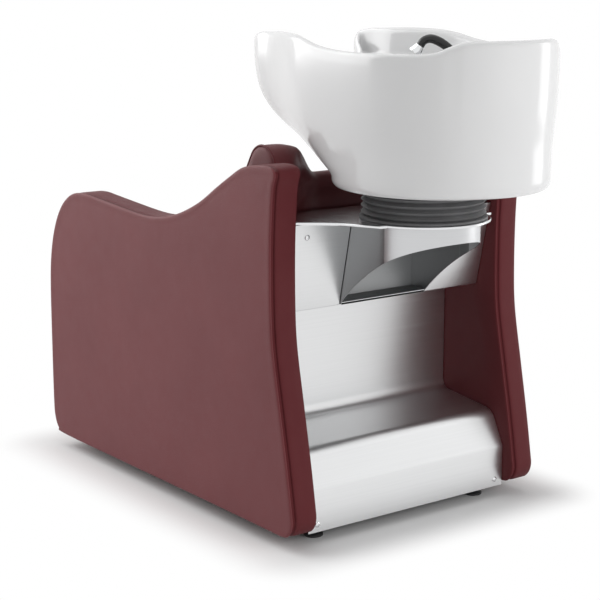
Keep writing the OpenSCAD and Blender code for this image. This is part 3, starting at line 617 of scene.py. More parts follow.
def make_basin():
    rows = bowl_rows(4)
    soft = soft_rims(rows)
    rings = [[raised(hole_xy(b, WASTE_HOLE_R), z) for b in rows] for z in (BOWL_FLOOR - 4, BOWL_Z)]
    shares = (0.0, 0.35, 0.7, 1.0)
    rings += [[under_bowl(b, hollow_z(b, share)) for b in rows] for share in shares]
    rings += [[wall_xyz(b, hollow_z(b, share), soft, BOWL_WALL) for b in rows] for share in shares[::-1]]
    for d, rise in ((13, 0.0), (9, 1.5), (5, 4.5), (2, 9.0), (0.5, 15.0), (0, 22.0)):
        rings.append([raised(base_xy(b, d), BOWL_Z + rise) for b in rows])
    for k in range(1, WALL_RINGS + 1):
        w = (k / WALL_RINGS) ** WALL_CROWD
        rings.append([wall_xyz(b, BOWL_TURN_Z + (b[3] - LIP_H - BOWL_TURN_Z) * w, soft) for b in rows])
    for d, down in ((0.5, 8), (1.8, 5), (4, 2.4), (7, 0.8), (10.5, 0), (14, 0.4), (17.5, 2), (20.5, 5),
                    (22.5, 9), (24, 15)):
        rings.append([lip_xyz(b, d, down) for b in rows])
    for d, share, rise in ((2.5, 0.87, 9), (5, 0.9, 4), (9, 0.93, 1.2), (16, 0.955, 0.2)):
        rings.append([deck_xyz(b, d, share, rise) for b in rows])
    rings.append([bowl_xyz(b, 1.0, 3.0) for b in rows])
    for k in range(BOWL_RINGS):
        t = 1 - (k + 0.6) / (BOWL_RINGS + 0.6)
        rings.append([bowl_xyz(b, t ** BOWL_CROWD) for b in rows])
    for share in (0.85, 0.6, 0.35):
        z = BOWL_FLOOR + 0.6 * (share - 0.35)
        dish = [floor_xy(b).lerp(hole_xy(b, WASTE_DISH_R), 1 - share) for b in rows]
        rings.append([raised(q, z) for q in dish])
    rings.append([raised(hole_xy(b, WASTE_SEAT_R), BOWL_FLOOR) for b in rows])
    piece = skin("basin_shell", [[p * MM for p in r] for r in rings], CERAMIC, loop=True, sharp_deg=60)
    cut_deck(piece)
    finish_piece(piece, "tilting_basin", "ceramic", "basin")


def cut_deck(piece):
    """Holes through the deck for the mixer's shank and the shower socket."""
    for side, r in DECK_HOLE_R.items():
        at = Vector((side * FITTING.x, FITTING.y, DECK_Z))
        cutter = lathe("cutter", [(r, -35), (r, 20)], CERAMIC, at, 40)
        hole = piece.modifiers.new("Hole", "BOOLEAN")
        set_all(hole, operation="DIFFERENCE", object=cutter, solver="EXACT")
        apply_modifiers(piece)
        bpy.data.objects.remove(cutter)
    piece.data.shade_smooth()
    piece.data.set_sharp_from_angle(angle=math.radians(50))


make_basin()


# Bellows between the top plate and the saddle

def make_bellows():
    low, high = PLATE_Z * 1000 + SEAT_GAP, SADDLE_Z * 1000 - SEAT_GAP
    ribs, rib_steps, r, depth, wall = 4, 14, 126.0, 9.0, 4.0
    ring_h = 6.0
    outer = [(r + 1.4, low), (r + 2, low + 0.6), (r + 2, low + ring_h - 2), (r + 1.2, low + ring_h - 1)]
    pitch = (high - low - 2 * ring_h) / ribs
    for k in range(ribs * rib_steps + 1):
        t = k / rib_steps
        swell = (1 - abs(1 - 2 * (t % 1))) ** 0.8
        outer.append((r - depth + (depth - 1) * swell, low + ring_h + pitch * t))
    outer += [(r - 2, high - ring_h + 0.8), (r - 0.4, high - ring_h + 1.4), (r, high - 3),
              (r, high - 0.6), (r - 0.6, high)]
    inner = [(x - wall, z) for x, z in reversed(outer)]
    centre = Vector((0, TILT_Y, 0))
    piece = lathe("bellows_sleeve", outer + inner, RUBBER, centre, 128, loop=True, sharp_deg=70)
    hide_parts("bellows")
    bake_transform(piece)


make_bellows()


# Side panels: board and padding under one cover, with a sewn strip beside the outer face

# Outline as (y, z) in millimetres, from the front foot corner round to the rear and over the arm
SIDE_OUTLINE = [
    (-570, 33), (-300, 32), (0, 32), (250, 31), (314, 31), (334, 41), (343, 63), (340, 90), (324, 181),
    (302, 291), (280, 404), (274, 490), (274, 609), (281, 709), (290, 741), (284, 755), (259, 760),
    (220, 757), (179, 748), (131, 723), (89, 699), (24, 661), (-52, 630), (-122, 614), (-203, 610),
    (-349, 620), (-400, 624), (-449, 627), (-497, 620), (-538, 598), (-570, 563), (-594, 516),
    (-609, 462), (-616, 400), (-618, 294), (-618, 113), (-613, 66), (-598, 42)
]
SIDE_MID = Vector((-130, 330))
SIDE_POINTS = 420
SIDE_ROUND = 9.0

# Sewn recess beside the panel's right-hand face: distance from that face and inset of the outline
RECESS = [
    (24, 0.0), (18.5, 0.1), (15.6, 0.7), (14.3, 1.9), (13.8, 3.6), (13.2, 4.4), (12.4, 4.6), (7.6, 4.6),
    (6.9, 4.4), (6.4, 3.4), (5.9, 1.6), (5.2, 0.6), (4.2, 0.1), (3.2, 0.1), (2.2, 0.8), (1.4, 2.2),
    (1.0, 4.4)
]
# Plain edge of the panel's left-hand face, on the inside of the right panel and outside of the left
PLAIN_NEAR = [(0.0, 4.4), (0.5, 2.0), (1.8, 0.6), (4.0, 0.1), (20.0, 0.0)]
PLAIN_FAR = [(20.0, 0.0), (9.5, 0.1), (7.0, 0.7), (4.6, 2.0), (2.7, 4.0), (1.4, 6.4), (0.9, 9.0)]


def make_side(hand, sign):
    """Panel whose recess lies on its right-hand side: outside on one panel, inside on the other."""
    loop = arc_resample(smooth_loop(SIDE_OUTLINE, 6), SIDE_POINTS)
    x1 = OUTER_X * 1000
    x0 = INNER_X * 1000
    if sign > 0:
        edge = [(x0 + x, d) for x, d in PLAIN_NEAR] + [(x1 - x, d) for x, d in RECESS]
        edge.append((x1 - 0.8, SIDE_ROUND))
    else:
        edge = [(x0, 7.0)] + [(x0 + x, d) for x, d in RECESS[::-1]] + [(x1 - x, d) for x, d in PLAIN_FAR]
    rings = [[Vector((x, p.x, p.y)) for p in inset(loop, d)] for x, d in edge]
    rim = inset(loop, SIDE_ROUND)
    for share, low in ((0.985, 0.8), (0.96, 0.55), (0.92, 0.35), (0.86, 0.2), (0.76, 0.1), (0.6, 0.03),
                       (0.4, 0.0), (0.2, 0.0), (0.06, 0.0)):
        ring = []
        for p in rim:
            q = SIDE_MID + (p - SIDE_MID) * share
            ripple = 0.5 * noise.noise(Vector((q.x * 0.009, q.y * 0.009, sign * 3.0)))
            ring.append(Vector((x1 - low - 0.35 + 0.35 * ripple, q.x, q.y)))
        rings.append(ring)
    rings = [[Vector((sign * p.x, p.y, p.z)) * MM for p in r] for r in rings]
    piece = skin("side_panel_" + hand, rings, VINYL, sharp_deg=80)
    # Faces more than a few millimetres in from the outer face take the darker vinyl: painted shade on the
    # edge band, the recess and the inner face.
    piece.data.materials.append(EDGE_VINYL_PAINTED_SHADE)
    split = (x1 - (6.2 if sign > 0 else 3.0)) * MM
    for f in piece.data.polygons:
        if abs(f.center.x) < split:
            f.material_index = 1
    finish_piece(piece, "chair", "vinyl", "side_pad_" + hand, "side_board_" + hand)


make_side("left", -1)
make_side("right", 1)


# Cushions

CLOTH_FRAMES = 20
CLOTH_VOXEL = 0.006


def puff(piece, pressure, cap, pinned):
    """Swells a closed cover with cloth under pressure; pinned(co) from 0 to 1 holds a point."""
    set_all(piece.modifiers.new("Voxels", "REMESH"), mode="VOXEL", voxel_size=CLOTH_VOXEL)
    apply_modifiers(piece)
    mesh = piece.data
    rest = [v.co.copy() for v in mesh.vertices]
    group = piece.vertex_groups.new(name="held")
    for v in mesh.vertices:
        group.add([v.index], pinned(v.co), "REPLACE")
    cloth = piece.modifiers.new("Cloth", "CLOTH").settings
    set_all(cloth, quality=4, mass=0.3, use_pressure=True, uniform_pressure_force=pressure,
            tension_stiffness=12, bending_stiffness=0.6, vertex_group_mass="held")
    cloth.effector_weights.gravity = 0
    scene = bpy.context.scene
    for k in range(1, CLOTH_FRAMES + 1):
        scene.frame_set(k)
    deps = bpy.context.evaluated_depsgraph_get()
    moved = [v.co.copy() for v in piece.evaluated_get(deps).data.vertices]
    piece.modifiers.clear()
    for v, old, new in zip(mesh.vertices, rest, moved):
        step = new - old
        if step.length > cap:
            step *= cap / step.length
        v.co = old + step
    scene.frame_set(1)
    relax(mesh, 2)
    mesh.shade_smooth()


def relax(mesh, times):
    made = bmesh.new()
    made.from_mesh(mesh)
    axes = {"use_axis_" + axis: True for axis in "xyz"}
    for _ in range(times):
        bmesh.ops.smooth_vert(made, verts=made.verts, factor=0.5, **axes)
    made.to_mesh(mesh)
    made.free()


def pad_loop(w, h, r, d, per_side=16):
    """Rectangle with round corners and drawn-in sides, anticlockwise."""
    out = []
    for q, (sx, sy) in enumerate(((1, 1), (-1, 1), (-1, -1), (1, -1))):
        cx, cy = sx * (w / 2 - r), sy * (h / 2 - r)
        for k in range(9):
            a = math.radians(90 * q + 11.25 * k)
            out.append((cx + r * math.cos(a), cy + r * math.sin(a)))
        for k in range(1, per_side):
            t = k / per_side
            pull = d * (1 - (2 * t - 1) ** 2)
            if q % 2 == 0:
                out.append((cx * (1 - 2 * t), sy * (h / 2 - pull)))
            else:
                out.append((sx * (w / 2 - pull), cy * (1 - 2 * t)))
    return out


def pad_rings(base, edge, crown, place):
    """Rings over an edge of (height, inset) and a crown of (share of the plan, height)."""
    rings = [[place(p.x, p.y, z) * MM for p in inset(base, d)] for z, d in edge]
    rim = inset(base, edge[-1][1])
    return rings + [[place(p.x * share, p.y * share, z) * MM for p in rim] for share, z in crown]


SEAT_FRONT, SEAT_REAR, SEAT_Z, SEAT_T, SEAT_CROWN = 600.0, 105.0, 335.0, 100.0, 14.0
SEAT_SEAM, SEAT_HELD = 81, 60


def make_seat():
    mid_y = -(SEAT_FRONT + SEAT_REAR) / 2
    base = pad_loop(2 * CUSHION_X * 1000 - 4, SEAT_FRONT - SEAT_REAR - 4, 30, 5)
    edge = [(0.4, 12), (1.5, 6), (5, 2.5), (14, 0.6), (34, 0), (56, 0), (72, 0.6), (78, 1.6), (80, 3.2),
            (82, 3.4), (84, 1.8), (88, 1.6), (93, 4.4), (97, 9), (99.5, 16)]
    rises = [(0.96, 0.22), (0.9, 0.42), (0.8, 0.64), (0.66, 0.82), (0.5, 0.92), (0.3, 0.98), (0.1, 1.0)]
    crown = [(share, SEAT_T + SEAT_CROWN * rise) for share, rise in rises]
    rings = pad_rings(base, edge, crown, lambda x, y, z: Vector((x, mid_y + y, SEAT_Z + z)))
    # The seat's cover takes the darker vinyl, a painted shade.
    piece = skin("seat_upholstery", rings, SEAT_VINYL_PAINTED_SHADE, sharp_deg=80)
    seam_z = (SEAT_Z + SEAT_SEAM) * MM
    held_z = (SEAT_Z + SEAT_HELD) * MM
    puff(piece, 3.0, 0.006, lambda co: float(co.z < held_z or abs(co.z - seam_z) < 0.003))
    finish_piece(piece, "chair", "seat_vinyl", "seat_cushion")
    welt = arc_resample([(p.x * MM, (mid_y + p.y) * MM, seam_z) for p in inset(base, 1.6)], 240)
    # The welt cord takes the darker vinyl, a painted shade line along the seam.
    cord = tube("seat_welt", welt, 0.0026, EDGE_VINYL_PAINTED_SHADE, 8, closed=True)
    finish_piece(cord, "chair", "edge_vinyl")


make_seat()

BACK_LEAN = math.radians(31)
CREST = Vector((152.0, 741.0))
CREST_R = 45.0
BACK_LEN = 440.0
BACK_BOARD_T = 15.0
CREST_DROP = 70.0
BACK_DOWN = Vector((-math.sin(BACK_LEAN), -math.cos(BACK_LEAN)))
BACK_REAR = Vector((math.cos(BACK_LEAN), -math.sin(BACK_LEAN)))
BOARD_FRONT = CREST_R - BACK_BOARD_T
BOARD_TOP = CREST_DROP + CREST_R + 20
# Distance from the middle at which the crest's fall and its rear cut start, and their widths
FALL_START, FALL_W = 172, 84
CUT_START, CUT_W, CUT_DEPTH = 226, 80, 22


def back_point(s, n):
    return CREST + BACK_DOWN * s + BACK_REAR * n


def drop_share(x):
    """Share of the drop from the crest's raised ends to the hollow behind the neck."""
    return ease((FALL_START - abs(x)) / FALL_W)


def rear_cut(x):
    """How much thinner the crest is on its rear side where it passes under the basin's wall."""
    return CUT_DEPTH * ease((CUT_START - abs(x)) / CUT_W)


def back_section(drop, d, thin=0.0):
    """Section as (distance down the back, distance behind its middle), drawn in by d at the ends."""
    r, foot = CREST_R - d, BACK_LEN - d
    turn = [math.radians(9 * k) for k in range(21)]
    out = [(drop - (r - thin) * math.sin(a), -thin - (r - thin) * math.cos(a)) for a in turn]
    for k in range(1, 7):
        out.append((drop + (BOARD_TOP - 2 - drop) * k / 6, r - 2 * thin * (1 - ease(k / 6))))
    out += [(BOARD_TOP + (foot - 6 - BOARD_TOP) * k / 10, BOARD_FRONT) for k in range(11)]
    out += [(foot - 1.5, BOARD_FRONT - 2), (foot, BOARD_FRONT - 8), (foot, 0), (foot, -r * 0.5),
            (foot - 3, -r + 12), (foot - 10, -r + 4)]
    front = [(0.93, -1.5), (0.85, -4), (0.75, -4.5), (0.65, -4), (0.55, -3), (0.47, -0.5), (0.42, 1),
             (0.37, 0.5), (0.33, 0)]
    return out + [(BACK_LEN * s, -r + n) for s, n in front]


def make_back():
    half = CUSHION_X * 1000
    right = [(half, 14), (half - 0.6, 9), (half - 2, 5), (half - 4.5, 2.2), (half - 8, 0.7), (half - 12, 0)]
    close_rows = [218 - 5 * k for k in range(28)]
    right += [(x, 0) for x in [half - 20, 232] + close_rows + [70, 50, 25]]
    rows = right + [(0, 0)] + [(-x, d) for x, d in reversed(right)]
    rings = []
    for x, d in rows:
        ring = []
        for s, n in back_section(CREST_DROP * drop_share(x), d, rear_cut(x)):
            p = back_point(s, n)
            ring.append(Vector((x, p.x, p.y)) * MM)
        rings.append(ring)
    # The backrest's cover takes the darker vinyl, a painted shade.
    piece = skin("backrest_upholstery", rings, SEAT_VINYL_PAINTED_SHADE, sharp_deg=80)
    puff(piece, 2.5, 0.004, back_pin)
    finish_piece(piece, "chair", "seat_vinyl", "backrest_cushion")
    edge = [back_point(*q) * MM for q in back_section(0.0, 1.6)]
    for hand, s in (("left", -1), ("right", 1)):
        loop = arc_resample([Vector((s * (half - 5.5) * MM, q.x, q.y)) for q in edge], 260)
        # The welt cord takes the darker vinyl, a painted shade line along the seam.
        welt = tube("backrest_welt_" + hand, loop, 0.0024, EDGE_VINYL_PAINTED_SHADE, 8, closed=True)
        finish_piece(welt, "chair", "edge_vinyl")


def back_pin(co):
    """1 where the cover is held: at its lower board edge and along both ends."""
    p = Vector((co.y, co.z)) / MM - CREST
    s, n = p.dot(BACK_DOWN), p.dot(BACK_REAR)
    on_board = n > BOARD_FRONT - 6 and s > BOARD_TOP - 30
    return float(on_board or abs(co.x) > CUSHION_X - 0.008)


make_back()


def make_front_pad():
    low, high, face, t = 60.0, 334.7, 596.0, 20.0
    base = pad_loop(2 * CUSHION_X * 1000, high - low, 14, 2)
    mid = (low + high) / 2
    edge = [(0, 1.5), (1, 0.4), (3, 0), (t - 9, 0), (t - 5.5, 0.8), (t - 3, 2.4), (t - 1.4, 5), (t - 0.8, 8)]
    crown = [(0.97, t - 0.6), (0.9, t - 0.4), (0.75, t - 0.2), (0.5, t - 0.05), (0.2, t)]
    rings = pad_rings(base, edge, crown, lambda x, y, z: Vector((-x, t - face - z, mid + y)))
    # The front pad's cover takes the darker vinyl, a painted shade.
    piece = skin("front_valance_upholstery", rings, SEAT_VINYL_PAINTED_SHADE, sharp_deg=80)
    finish_piece(piece, "chair", "seat_vinyl", "front_pad")


make_front_pad()


# Sheet metal

def sheet_outline(path, t):
    """Outline of a sheet of thickness t to the left of a 2D path."""
    path = [Vector(p) for p in path]
    back = []
    for i, p in enumerate(path):
        u = (path[i] - path[i - 1]).normalized() if i else (path[1] - path[0]).normalized()
        v = (path[i + 1] - p).normalized() if i < len(path) - 1 else u
        w = (u + v).normalized()
        back.append(p + t / w.dot(u) * Vector((-w.y, w.x)))
    return path + back[::-1]


def bent_sheet(name, path, low, high, material, side=1, bevel=0.0004):
    """Sheet along a (y, z) path in millimetres, with its thickness to the left (1) or right (-1)."""
    return prism(name, sheet_outline(path, side * SHEET / MM), low, high, material, bevel)


COVER_Y, RETURN_Z, KICK_Y = 116, 455, 312
lower = rounded([(COVER_Y, RETURN_Z), (COVER_Y, 202), (276, 184), (KICK_Y, 111), (KICK_Y, 23)],
                [0, 25, 30, 12, 0], 14, closed=False)
lower_cover = bent_sheet("lower_rear_cover_sheet", lower, -COVER_X, COVER_X, STEEL)
finish_piece(lower_cover, "chair", "brushed_steel", "lower_rear_cover")

SLANT_FOOT = Vector((219, RETURN_Z))
SLANT_HEAD = Vector((258, 637))
SLANT = SLANT_HEAD - SLANT_FOOT
ARC_R, ARC_END_Z, ARC_LOW = 550.0, 603.0, Vector((219, RETURN_Z + 2))
SKIRT_SIDE_STEPS, SKIRT_TURN_STEPS, SKIRT_LEVELS = 12, 48, 6
SKIRT_INSIDE = 6
JOINT_LINE = 0.0012


def skirt_low(y):
    """Height of the skirt's curved lower edge at a distance y behind the middle, in millimetres."""
    a, b = ARC_LOW, Vector((TILT_Y * 1000 + SKIRT_R * 1000, ARC_END_Z))
    mid, half, along = (a + b) / 2, (b - a).length / 2, (b - a).normalized()
    o = mid + Vector((along.y, -along.x)) * math.sqrt(ARC_R ** 2 - half ** 2)
    return o.y + math.sqrt(max(0.0, ARC_R ** 2 - (y - o.x) ** 2))


def skirt_plan():
    """Points (x, y) and outward normals from one panel round the tongue to the other."""
    r, mid, foot = SKIRT_R * 1000, TILT_Y * 1000, SLANT_FOOT.x
    run = [foot + (mid - foot) * k / SKIRT_SIDE_STEPS for k in range(SKIRT_SIDE_STEPS + 1)]
    plan = [(r, y, 1.0, 0.0) for y in run]
    for k in range(1, SKIRT_TURN_STEPS):
        a = math.pi * k / SKIRT_TURN_STEPS
        plan.append((r * math.cos(a), mid + r * math.sin(a), math.cos(a), math.sin(a)))
    return plan + [(-r, y, -1.0, 0.0) for y in reversed(run)]


def skirt_column(x, y, nx, ny, d):
    """Points up the skirt at a depth d inside its plan, not further forward than the slanted panel."""
    x, y = x - nx * d, y - ny * d
    low, high = max(skirt_low(y), RETURN_Z + 1), (PLATE_Z - PLATE_T) * 1000
    out = []
    for level in range(SKIRT_LEVELS + 1):
        z = low + (high - low) * level / SKIRT_LEVELS
        front = SLANT_FOOT.x + (z - SLANT_FOOT.y) * SLANT.x / SLANT.y - SKIRT_INSIDE
        out.append(Vector((x, max(y, front) if y < SLANT_HEAD.x and ny < 0.01 else y, z)) * MM)
    return out


def make_skirt():
    """Closed sheet from the curved lower edge up to the top plate, with a painted highlight on its lower and
    upper edges.
    """
    rings = [skirt_column(*q, 0.0) + skirt_column(*q, SHEET / MM)[::-1] for q in skirt_plan()]
    skirt = skin("skirt", rings, SKIRT_STEEL_PAINTED_SHADE, sharp_deg=40)
    skirt.data.materials.append(SKIRT_SIDE_PAINTED_SHADE)
    skirt.data.materials.append(POLISHED_STEEL_AND_HIGHLIGHT)
    # Thin edge faces take a painted highlight, the flat sides a deep painted shade, and the curve the lighter
    # painted shade.
    for f in skirt.data.polygons:
        f.material_index = 2 if f.area < 2e-5 else 1 if abs(f.normal.x) > 0.99 else 0
    return skirt


def make_upper_cover():
    """Underside, slanted panel on both sides of the pocket, and the skirt as one welded sheet."""
    y, z = SLANT_FOOT
    flange = [(COVER_Y, z), (y - 3, z), (y - 0.8, z + 0.9), (y + 0.4, z + 3)]
    parts = []
    for s in (-1, 1):
        low, high = sorted((s * (SKIRT_R + JOINT_LINE), s * COVER_X))
        parts.append(bent_sheet("slant", flange + [SLANT_HEAD], low, high, STEEL))
    parts.append(bent_sheet("return", flange[:2], -SKIRT_R, SKIRT_R, STEEL))
    parts.append(make_skirt())
    piece = join("upper_rear_cover_sheet", parts)
    finish_piece(piece, "chair", "brushed_steel", "upper_rear_cover")


make_upper_cover()

TRAY_X = 0.1115
TRAY_BACK, TRAY_LIP, TRAY_FLOOR, TRAY_TOP = 180.0, 221.0, 461.0, 605.5
TRAY_REACH = 79
CHEEK_T = 0.0009


def make_tray():
    """Pocket tray: folded lip, floor, back and ceiling from one sheet, and cheeks to the skirt's arc, the
    sheet and cheeks in painted shade and the lip a painted highlight.
    """
    path = rounded([(TRAY_LIP, TRAY_FLOOR - 5), (TRAY_LIP, TRAY_FLOOR), (TRAY_BACK, TRAY_FLOOR + 2),
                    (TRAY_BACK, TRAY_TOP), (TRAY_LIP + TRAY_REACH, TRAY_TOP)],
                   [0, 1.2, 3, 3, 0], 5, closed=False)
    parts = [bent_sheet("sheet", path, -TRAY_X, TRAY_X, TRAY_PAINTED_SHADE, side=-1, bevel=0.0003)]
    arc = [(y, skirt_low(y) + 0.9) for y in range(222, 331, 6)]
    cheek = [(TRAY_BACK, TRAY_FLOOR + 0.5), (TRAY_LIP, TRAY_FLOOR - 1)] + [q for q in arc if q[1] < TRAY_TOP]
    cheek += [(arc[-1][0], TRAY_TOP), (TRAY_BACK, TRAY_TOP)]
    for s in (-1, 1):
        low, high = sorted((s * TRAY_X, s * (TRAY_X + CHEEK_T)))
        parts.append(prism("cheek", cheek, low, high, TRAY_PAINTED_SHADE))
    y0, y1, z0, z1 = TRAY_LIP - 0.4, TRAY_LIP + 1.5, TRAY_FLOOR - 5.2, TRAY_FLOOR + 0.2
    lip = rounded([(y0, z0), (y1, z0), (y1, z1), (y0, z1)], 0.5, 3)
    # The lip takes the polished steel, a painted highlight along the pocket's edge.
    parts.append(prism("lip", lip, -TRAY_X, TRAY_X, POLISHED_STEEL_AND_HIGHLIGHT))
    finish_piece(join("pocket_tray_sheet", parts), "chair", "brushed_steel", "pocket_tray")


make_tray()

PLATE_FLANK = [(264, 238), (245, 255), (213, 280), (186, 307), (172, 331), (160, 356), (147, 383)]
PLATE_FRONT = 146
PLATE_HALF = COVER_X * 1000
PLATE_EDGE = 0.0008
TONGUE_R = 138
TONGUE_Y = TILT_Y * 1000 - 5


def on_flank(b, c):
    """Whether two points lie on the plate's straight side."""
    return abs(b[0] - c[0]) < 0.5 and abs(b[0]) > PLATE_HALF - 4


def make_top_plate():
    """Plate with a tongue under the basin and a round hole for the tail, ringed on the hole's centre."""
    right = [(PLATE_HALF, PLATE_FRONT)] + PLATE_FLANK
    left = [(-x, y) for x, y in reversed(right)]
    turn = [math.radians(a) for a in range(20, 161, 4)]
    tongue = [(TONGUE_R * math.cos(a), TONGUE_Y + TONGUE_R * math.sin(a)) for a in turn]
    front = [(PLATE_HALF * (k / 9 - 1), PLATE_FRONT) for k in range(1, 18)]
    outline = smooth_open(right, 4, on_flank) + tongue + smooth_open(left, 4, on_flank) + front
    outer = [Vector(p) * MM for p in outline]
    centre = Vector((0, TILT_Y))
    hole = [centre + (p - centre).normalized() * TAIL_HOLE_R for p in outer]
    small = [p + (centre - p).normalized() * PLATE_EDGE for p in outer]
    low, high = PLATE_Z - PLATE_T, PLATE_Z
    rings = [[Vector((p.x, p.y, z)) for p in loop] for loop, z in
             ((hole, low), (small, low), (outer, low + PLATE_EDGE), (outer, high - PLATE_EDGE),
              (small, high), (hole, high))]
    piece = skin("top_plate_sheet", rings, POLISHED_STEEL_AND_HIGHLIGHT, loop=True, sharp_deg=30)
    finish_piece(piece, "chair", "bright_steel", "top_plate")


make_top_plate()


SCREW_X, SCREW_Z = (222, 242), (610, 39)


def make_screws():
    """Pan-head screws with a small recess, two on the slanted panel and two at the kick."""
    spot = SLANT_FOOT + SLANT * ((SCREW_Z[0] - SLANT_FOOT.y) / SLANT.y)
    rows = [(SCREW_X[0], spot.x, spot.y, math.atan2(SLANT.x, SLANT.y)),
            (SCREW_X[1], KICK_Y + SHEET / MM, SCREW_Z[1], 0.0)]
    profile = [(2.5, -14), (2.5, 0), (6, 0), (5.8, 1.2), (4.6, 2.4), (2.8, 3), (1.2, 3.1), (1.1, 1.6)]
    parts = []
    for x, y, z, lean in rows:
        turn = Matrix.Rotation(-math.pi / 2 - lean, 3, "X")
        for s in (-1, 1):
            parts.append(lathe("screw", profile, POLISHED_STEEL_AND_HIGHLIGHT, Vector((s * x, y, z)) * MM, 32, turn=turn))
    piece = join("cover_screw_heads", parts)
    finish_piece(piece, "chair", "bright_steel", "cover_screws")


make_screws()


# Water fittings

def make_mixer():
    at = Vector((-FITTING.x, FITTING.y, DECK_Z))
    profile = [(14, -45), (14, 0.2), (23.5, 0.2), (24, 1), (24, 3.5), (22.5, 5), (19.5, 6), (19, 7.5),
               (19, 20.5), (18.3, 21.7), (16, 22)]
    body = lathe("mixer_shell", profile, CHROME, at, 72)
    nut = lathe("nut", [(20, -22), (20, -14.2)], CHROME, at, 6)
    finish_piece(join("mixer_shell_all", [body, nut]), "tilting_basin", "chrome", "mixer_body")


def make_socket():
    profile = [(9.05, -45), (13, -45), (13, 0.2), (18.5, 0.2), (19, 1), (19, 3.2), (17.5, 5), (14, 5.8),
               (13, 7), (13, 16), (12.2, 17), (9.8, 17), (9.05, 16.3)]
    socket = lathe("shower_socket_shell", profile, CHROME, FITTING, 72, loop=True)
    finish_piece(socket, "tilting_basin", "chrome", "shower_socket")


make_mixer()
make_socket()

# Middle of the shower's arched neck, in millimetres from its foot on the collar
NECK_ROUTE = [
    (0, 0, 0), (2, -1, 7), (8, -6, 16), (17, -13, 25), (27, -21, 32), (37, -28, 35), (46, -35, 31),
    (51, -39, 22)
]
NECK_FOOT = FITTING + Vector((0, 0, 0.022))


def neck_radius(t):
    return 0.0080 - 0.0004 * math.cos(2 * math.pi * t)


def make_shower():
    fine = [NECK_FOOT + Vector(p) * MM for p in smooth_open(NECK_ROUTE, 6)]
    neck = tube("neck", fine, neck_radius, BLACK_GLOSS, 32)
    profile = [(9, -40), (9, 17.3), (11.5, 17.3), (12, 18), (12, 21.2), (11.2, 22.3), (9, 23)]
    stem = lathe("stem", profile, BLACK_GLOSS, FITTING, 48)
    finish_piece(join("hand_shower_handle", [stem, neck]), "shower", "black_gloss", "hand_shower")
    turn = (Vector(NECK_ROUTE[-1]) - Vector(NECK_ROUTE[-2])).to_track_quat("Z", "Y").to_matrix()
    profile = [(7.5, -0.5), (8.8, 0), (9.5, 2), (11.8, 9), (13, 12.5), (13, 15.5), (12.3, 16), (11.2, 15.2),
               (10.5, 14.6)]
    head = lathe("spray_head_shell", profile, CHROME, fine[-1], 48, turn=turn)
    finish_piece(head, "shower", "chrome", "spray_head")


make_shower()


# Levelling feet

def make_foot(name, x, y, body, node):
    """Round pad, hexagon for a spanner and threaded stud."""
    at = Vector((x, y, 0)) * MM
    profile = [(18.5, 0), (19.8, 0.8), (20, 2), (20, 4.5), (18.8, 5.6), (13, 9), (9.5, 12)]
    pad = lathe("pad", profile, BLACK_PLASTIC, at, 56)
    hexagon = lathe("hexagon", [(9, 12), (9, 30.7)], BLACK_PLASTIC, at, 6)
    add_bevel(hexagon, 0.0006)
    turns, pitch, crest, root, low = 20, 1.5, 5.0, 4.5, 31
    profile = [(root, low - 0.5)]
    for k in range(turns):
        profile += [(root, low + k * pitch), (crest, low + (k + 0.5) * pitch)]
    profile.append((root, low + turns * pitch))
    stud = lathe("stud", profile, BLACK_PLASTIC, at, 24)
    finish_piece(join(name, [pad, hexagon, stud]), body, "black_plastic", node)


for end, foot_y in (("front", -540), ("rear", 270)):
    for hand, foot_x in (("left", -219), ("right", 219)):
        make_foot(f"levelling_foot_{end}_{hand}", foot_x, foot_y, f"{end}_{hand}_foot", f"foot_{end}_{hand}")


# Materials of the CAD nodes that stay

KEPT = {
    PAINT: ("base_frame", "seat_frame", "rear_frame", "tilt_fork", "tilt_saddle"),
    PLYWOOD: ("seat_board", "front_board", "backrest_board"),
    POLISHED_STEEL_AND_HIGHLIGHT: ("fork_bolts", "tilt_pins"),
    CHROME: ("waste_fitting", "strainer", "mixer_cap", "mixer_lever"),
}
for material, kept_names in KEPT.items():
    for name in kept_names:
        data = nodes_of[name].data
        data.materials.clear()
        data.materials.append(material)


# Stage and light

def seen_directly(tree):
    """Node with 1 for rays from the camera and from metal and glass, and 0 for diffuse light."""
    path = tree.nodes.new("ShaderNodeLightPath")
    most = path.outputs["Is Camera Ray"]
    for kind in ("Is Glossy Ray", "Is Transmission Ray"):
        either = set_all(tree.nodes.new("ShaderNodeMath"), operation="MAXIMUM")
        tree.links.new(most, either.inputs[0])
        tree.links.new(path.outputs[kind], either.inputs[1])
        most = either.outputs[0]
    return either


def mix_surface(tree, share, under, over, output):
    """Shows one shader over another by the share that a node gives."""
    mix = tree.nodes.new("ShaderNodeMixShader")
    for i, source in enumerate((share, under, over)):
        tree.links.new(source.outputs[0], mix.inputs[i])
    tree.links.new(mix.outputs[0], tree.nodes[output].inputs["Surface"])


FOOTPRINT, FOOTPRINT_MID = (OUTER_X, 0.48, 0), (0.0, -0.138, 0)
FLOOR_NEAR, FLOOR_FAR = 0.0, 0.15
FLOOR_HALF_SIZE = 30
WORLD_LIGHT = 0.32


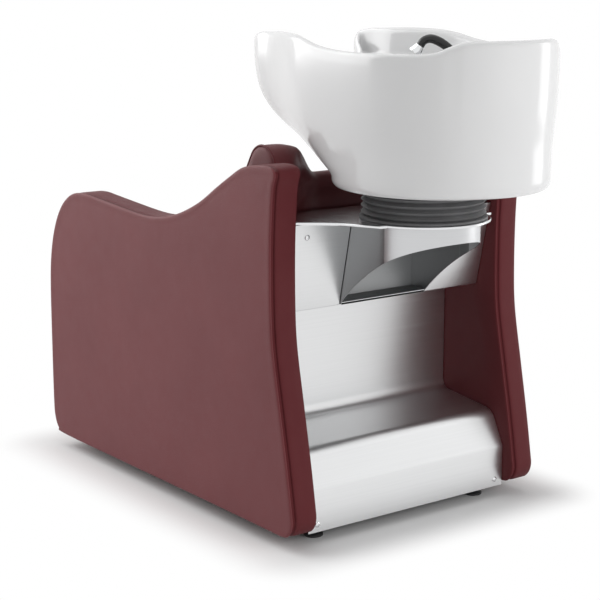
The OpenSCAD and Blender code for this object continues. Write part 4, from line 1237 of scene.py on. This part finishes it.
def make_stage():
    """Pale floor that takes soft shadow near the unit and runs out to plain white."""
    corners = [(x * FLOOR_HALF_SIZE, y * FLOOR_HALF_SIZE, 0) for x, y in ((-1, -1), (1, -1), (1, 1), (-1, 1))]
    s = Shader("studio_floor", (0.90, 0.90, 0.90), 0.7)
    floor = new_piece("floor", corners, [(0, 1, 2, 3)], s.mat)
    s.mottled((0.895, 0.895, 0.895), (0.905, 0.905, 0.905), 0.6, 2.0)
    s.bsdf.inputs["Specular IOR Level"].default_value = 0.2
    off = s.vector_math("SUBTRACT", s.coords, FOOTPRINT_MID)[0]
    off = s.vector_math("ABSOLUTE", off)[0]
    past = s.vector_math("SUBTRACT", off, FOOTPRINT)[0]
    past = s.vector_math("MAXIMUM", past)[0]
    reach = s.vector_math("LENGTH", past)
    share = s.node("ShaderNodeMapRange", interpolation_type="SMOOTHSTEP")
    share.inputs["From Min"].default_value = FLOOR_NEAR
    share.inputs["From Max"].default_value = FLOOR_FAR
    s.link(reach["Value"], share.inputs["Value"])
    seen = s.node("ShaderNodeMath", operation="MULTIPLY")
    s.link(share.outputs["Result"], seen.inputs[0])
    s.link(seen_directly(s.tree).outputs[0], seen.inputs[1])
    white = s.node("ShaderNodeEmission")
    mix_surface(s.tree, seen, s.bsdf, white, "Material Output")


def set_background(node, strength):
    node.inputs["Color"].default_value = (1, 1, 1, 1)
    node.inputs["Strength"].default_value = strength


def area_light(name, at, target, size, watts):
    light = new_object(name, bpy.data.lights.new(name, "AREA"))
    set_all(light.data, shape="RECTANGLE", size=size[0], size_y=size[1], energy=watts)
    light.location = at
    light.rotation_euler = (Vector(target) - Vector(at)).to_track_quat("-Z", "Y").to_euler()
    return light


def make_world():
    """Even studio white for the camera, and a softer grey that lights the unit."""
    world = bpy.data.worlds.new("studio")
    bpy.context.scene.world = world
    world.use_nodes = True
    tree = world.node_tree
    back = tree.nodes["Background"]
    set_background(back, WORLD_LIGHT)
    white = tree.nodes.new("ShaderNodeBackground")
    set_background(white, 1.0)
    mix_surface(tree, seen_directly(tree), back, white, "World Output")


make_stage()
make_world()
area_light("key", (2.0, -2.7, 2.2), (0, 0, 0.6), (3.8, 3.4), 108)
area_light("rear_fill", (-1.0, 4.1, 1.4), (0, 0.3, 0.5), (3.0, 2.8), 78).visible_glossy = False
area_light("rim_strip", (-3.7, 1.4, 1.2), (0, 0.3, 0.6), (1.4, 2.6), 20)
area_light("overhead", (0.2, -0.4, 3.4), (0, 0, 0), (3.6, 3.6), 30)

scene = bpy.context.scene
scene.view_settings.view_transform = "Standard"
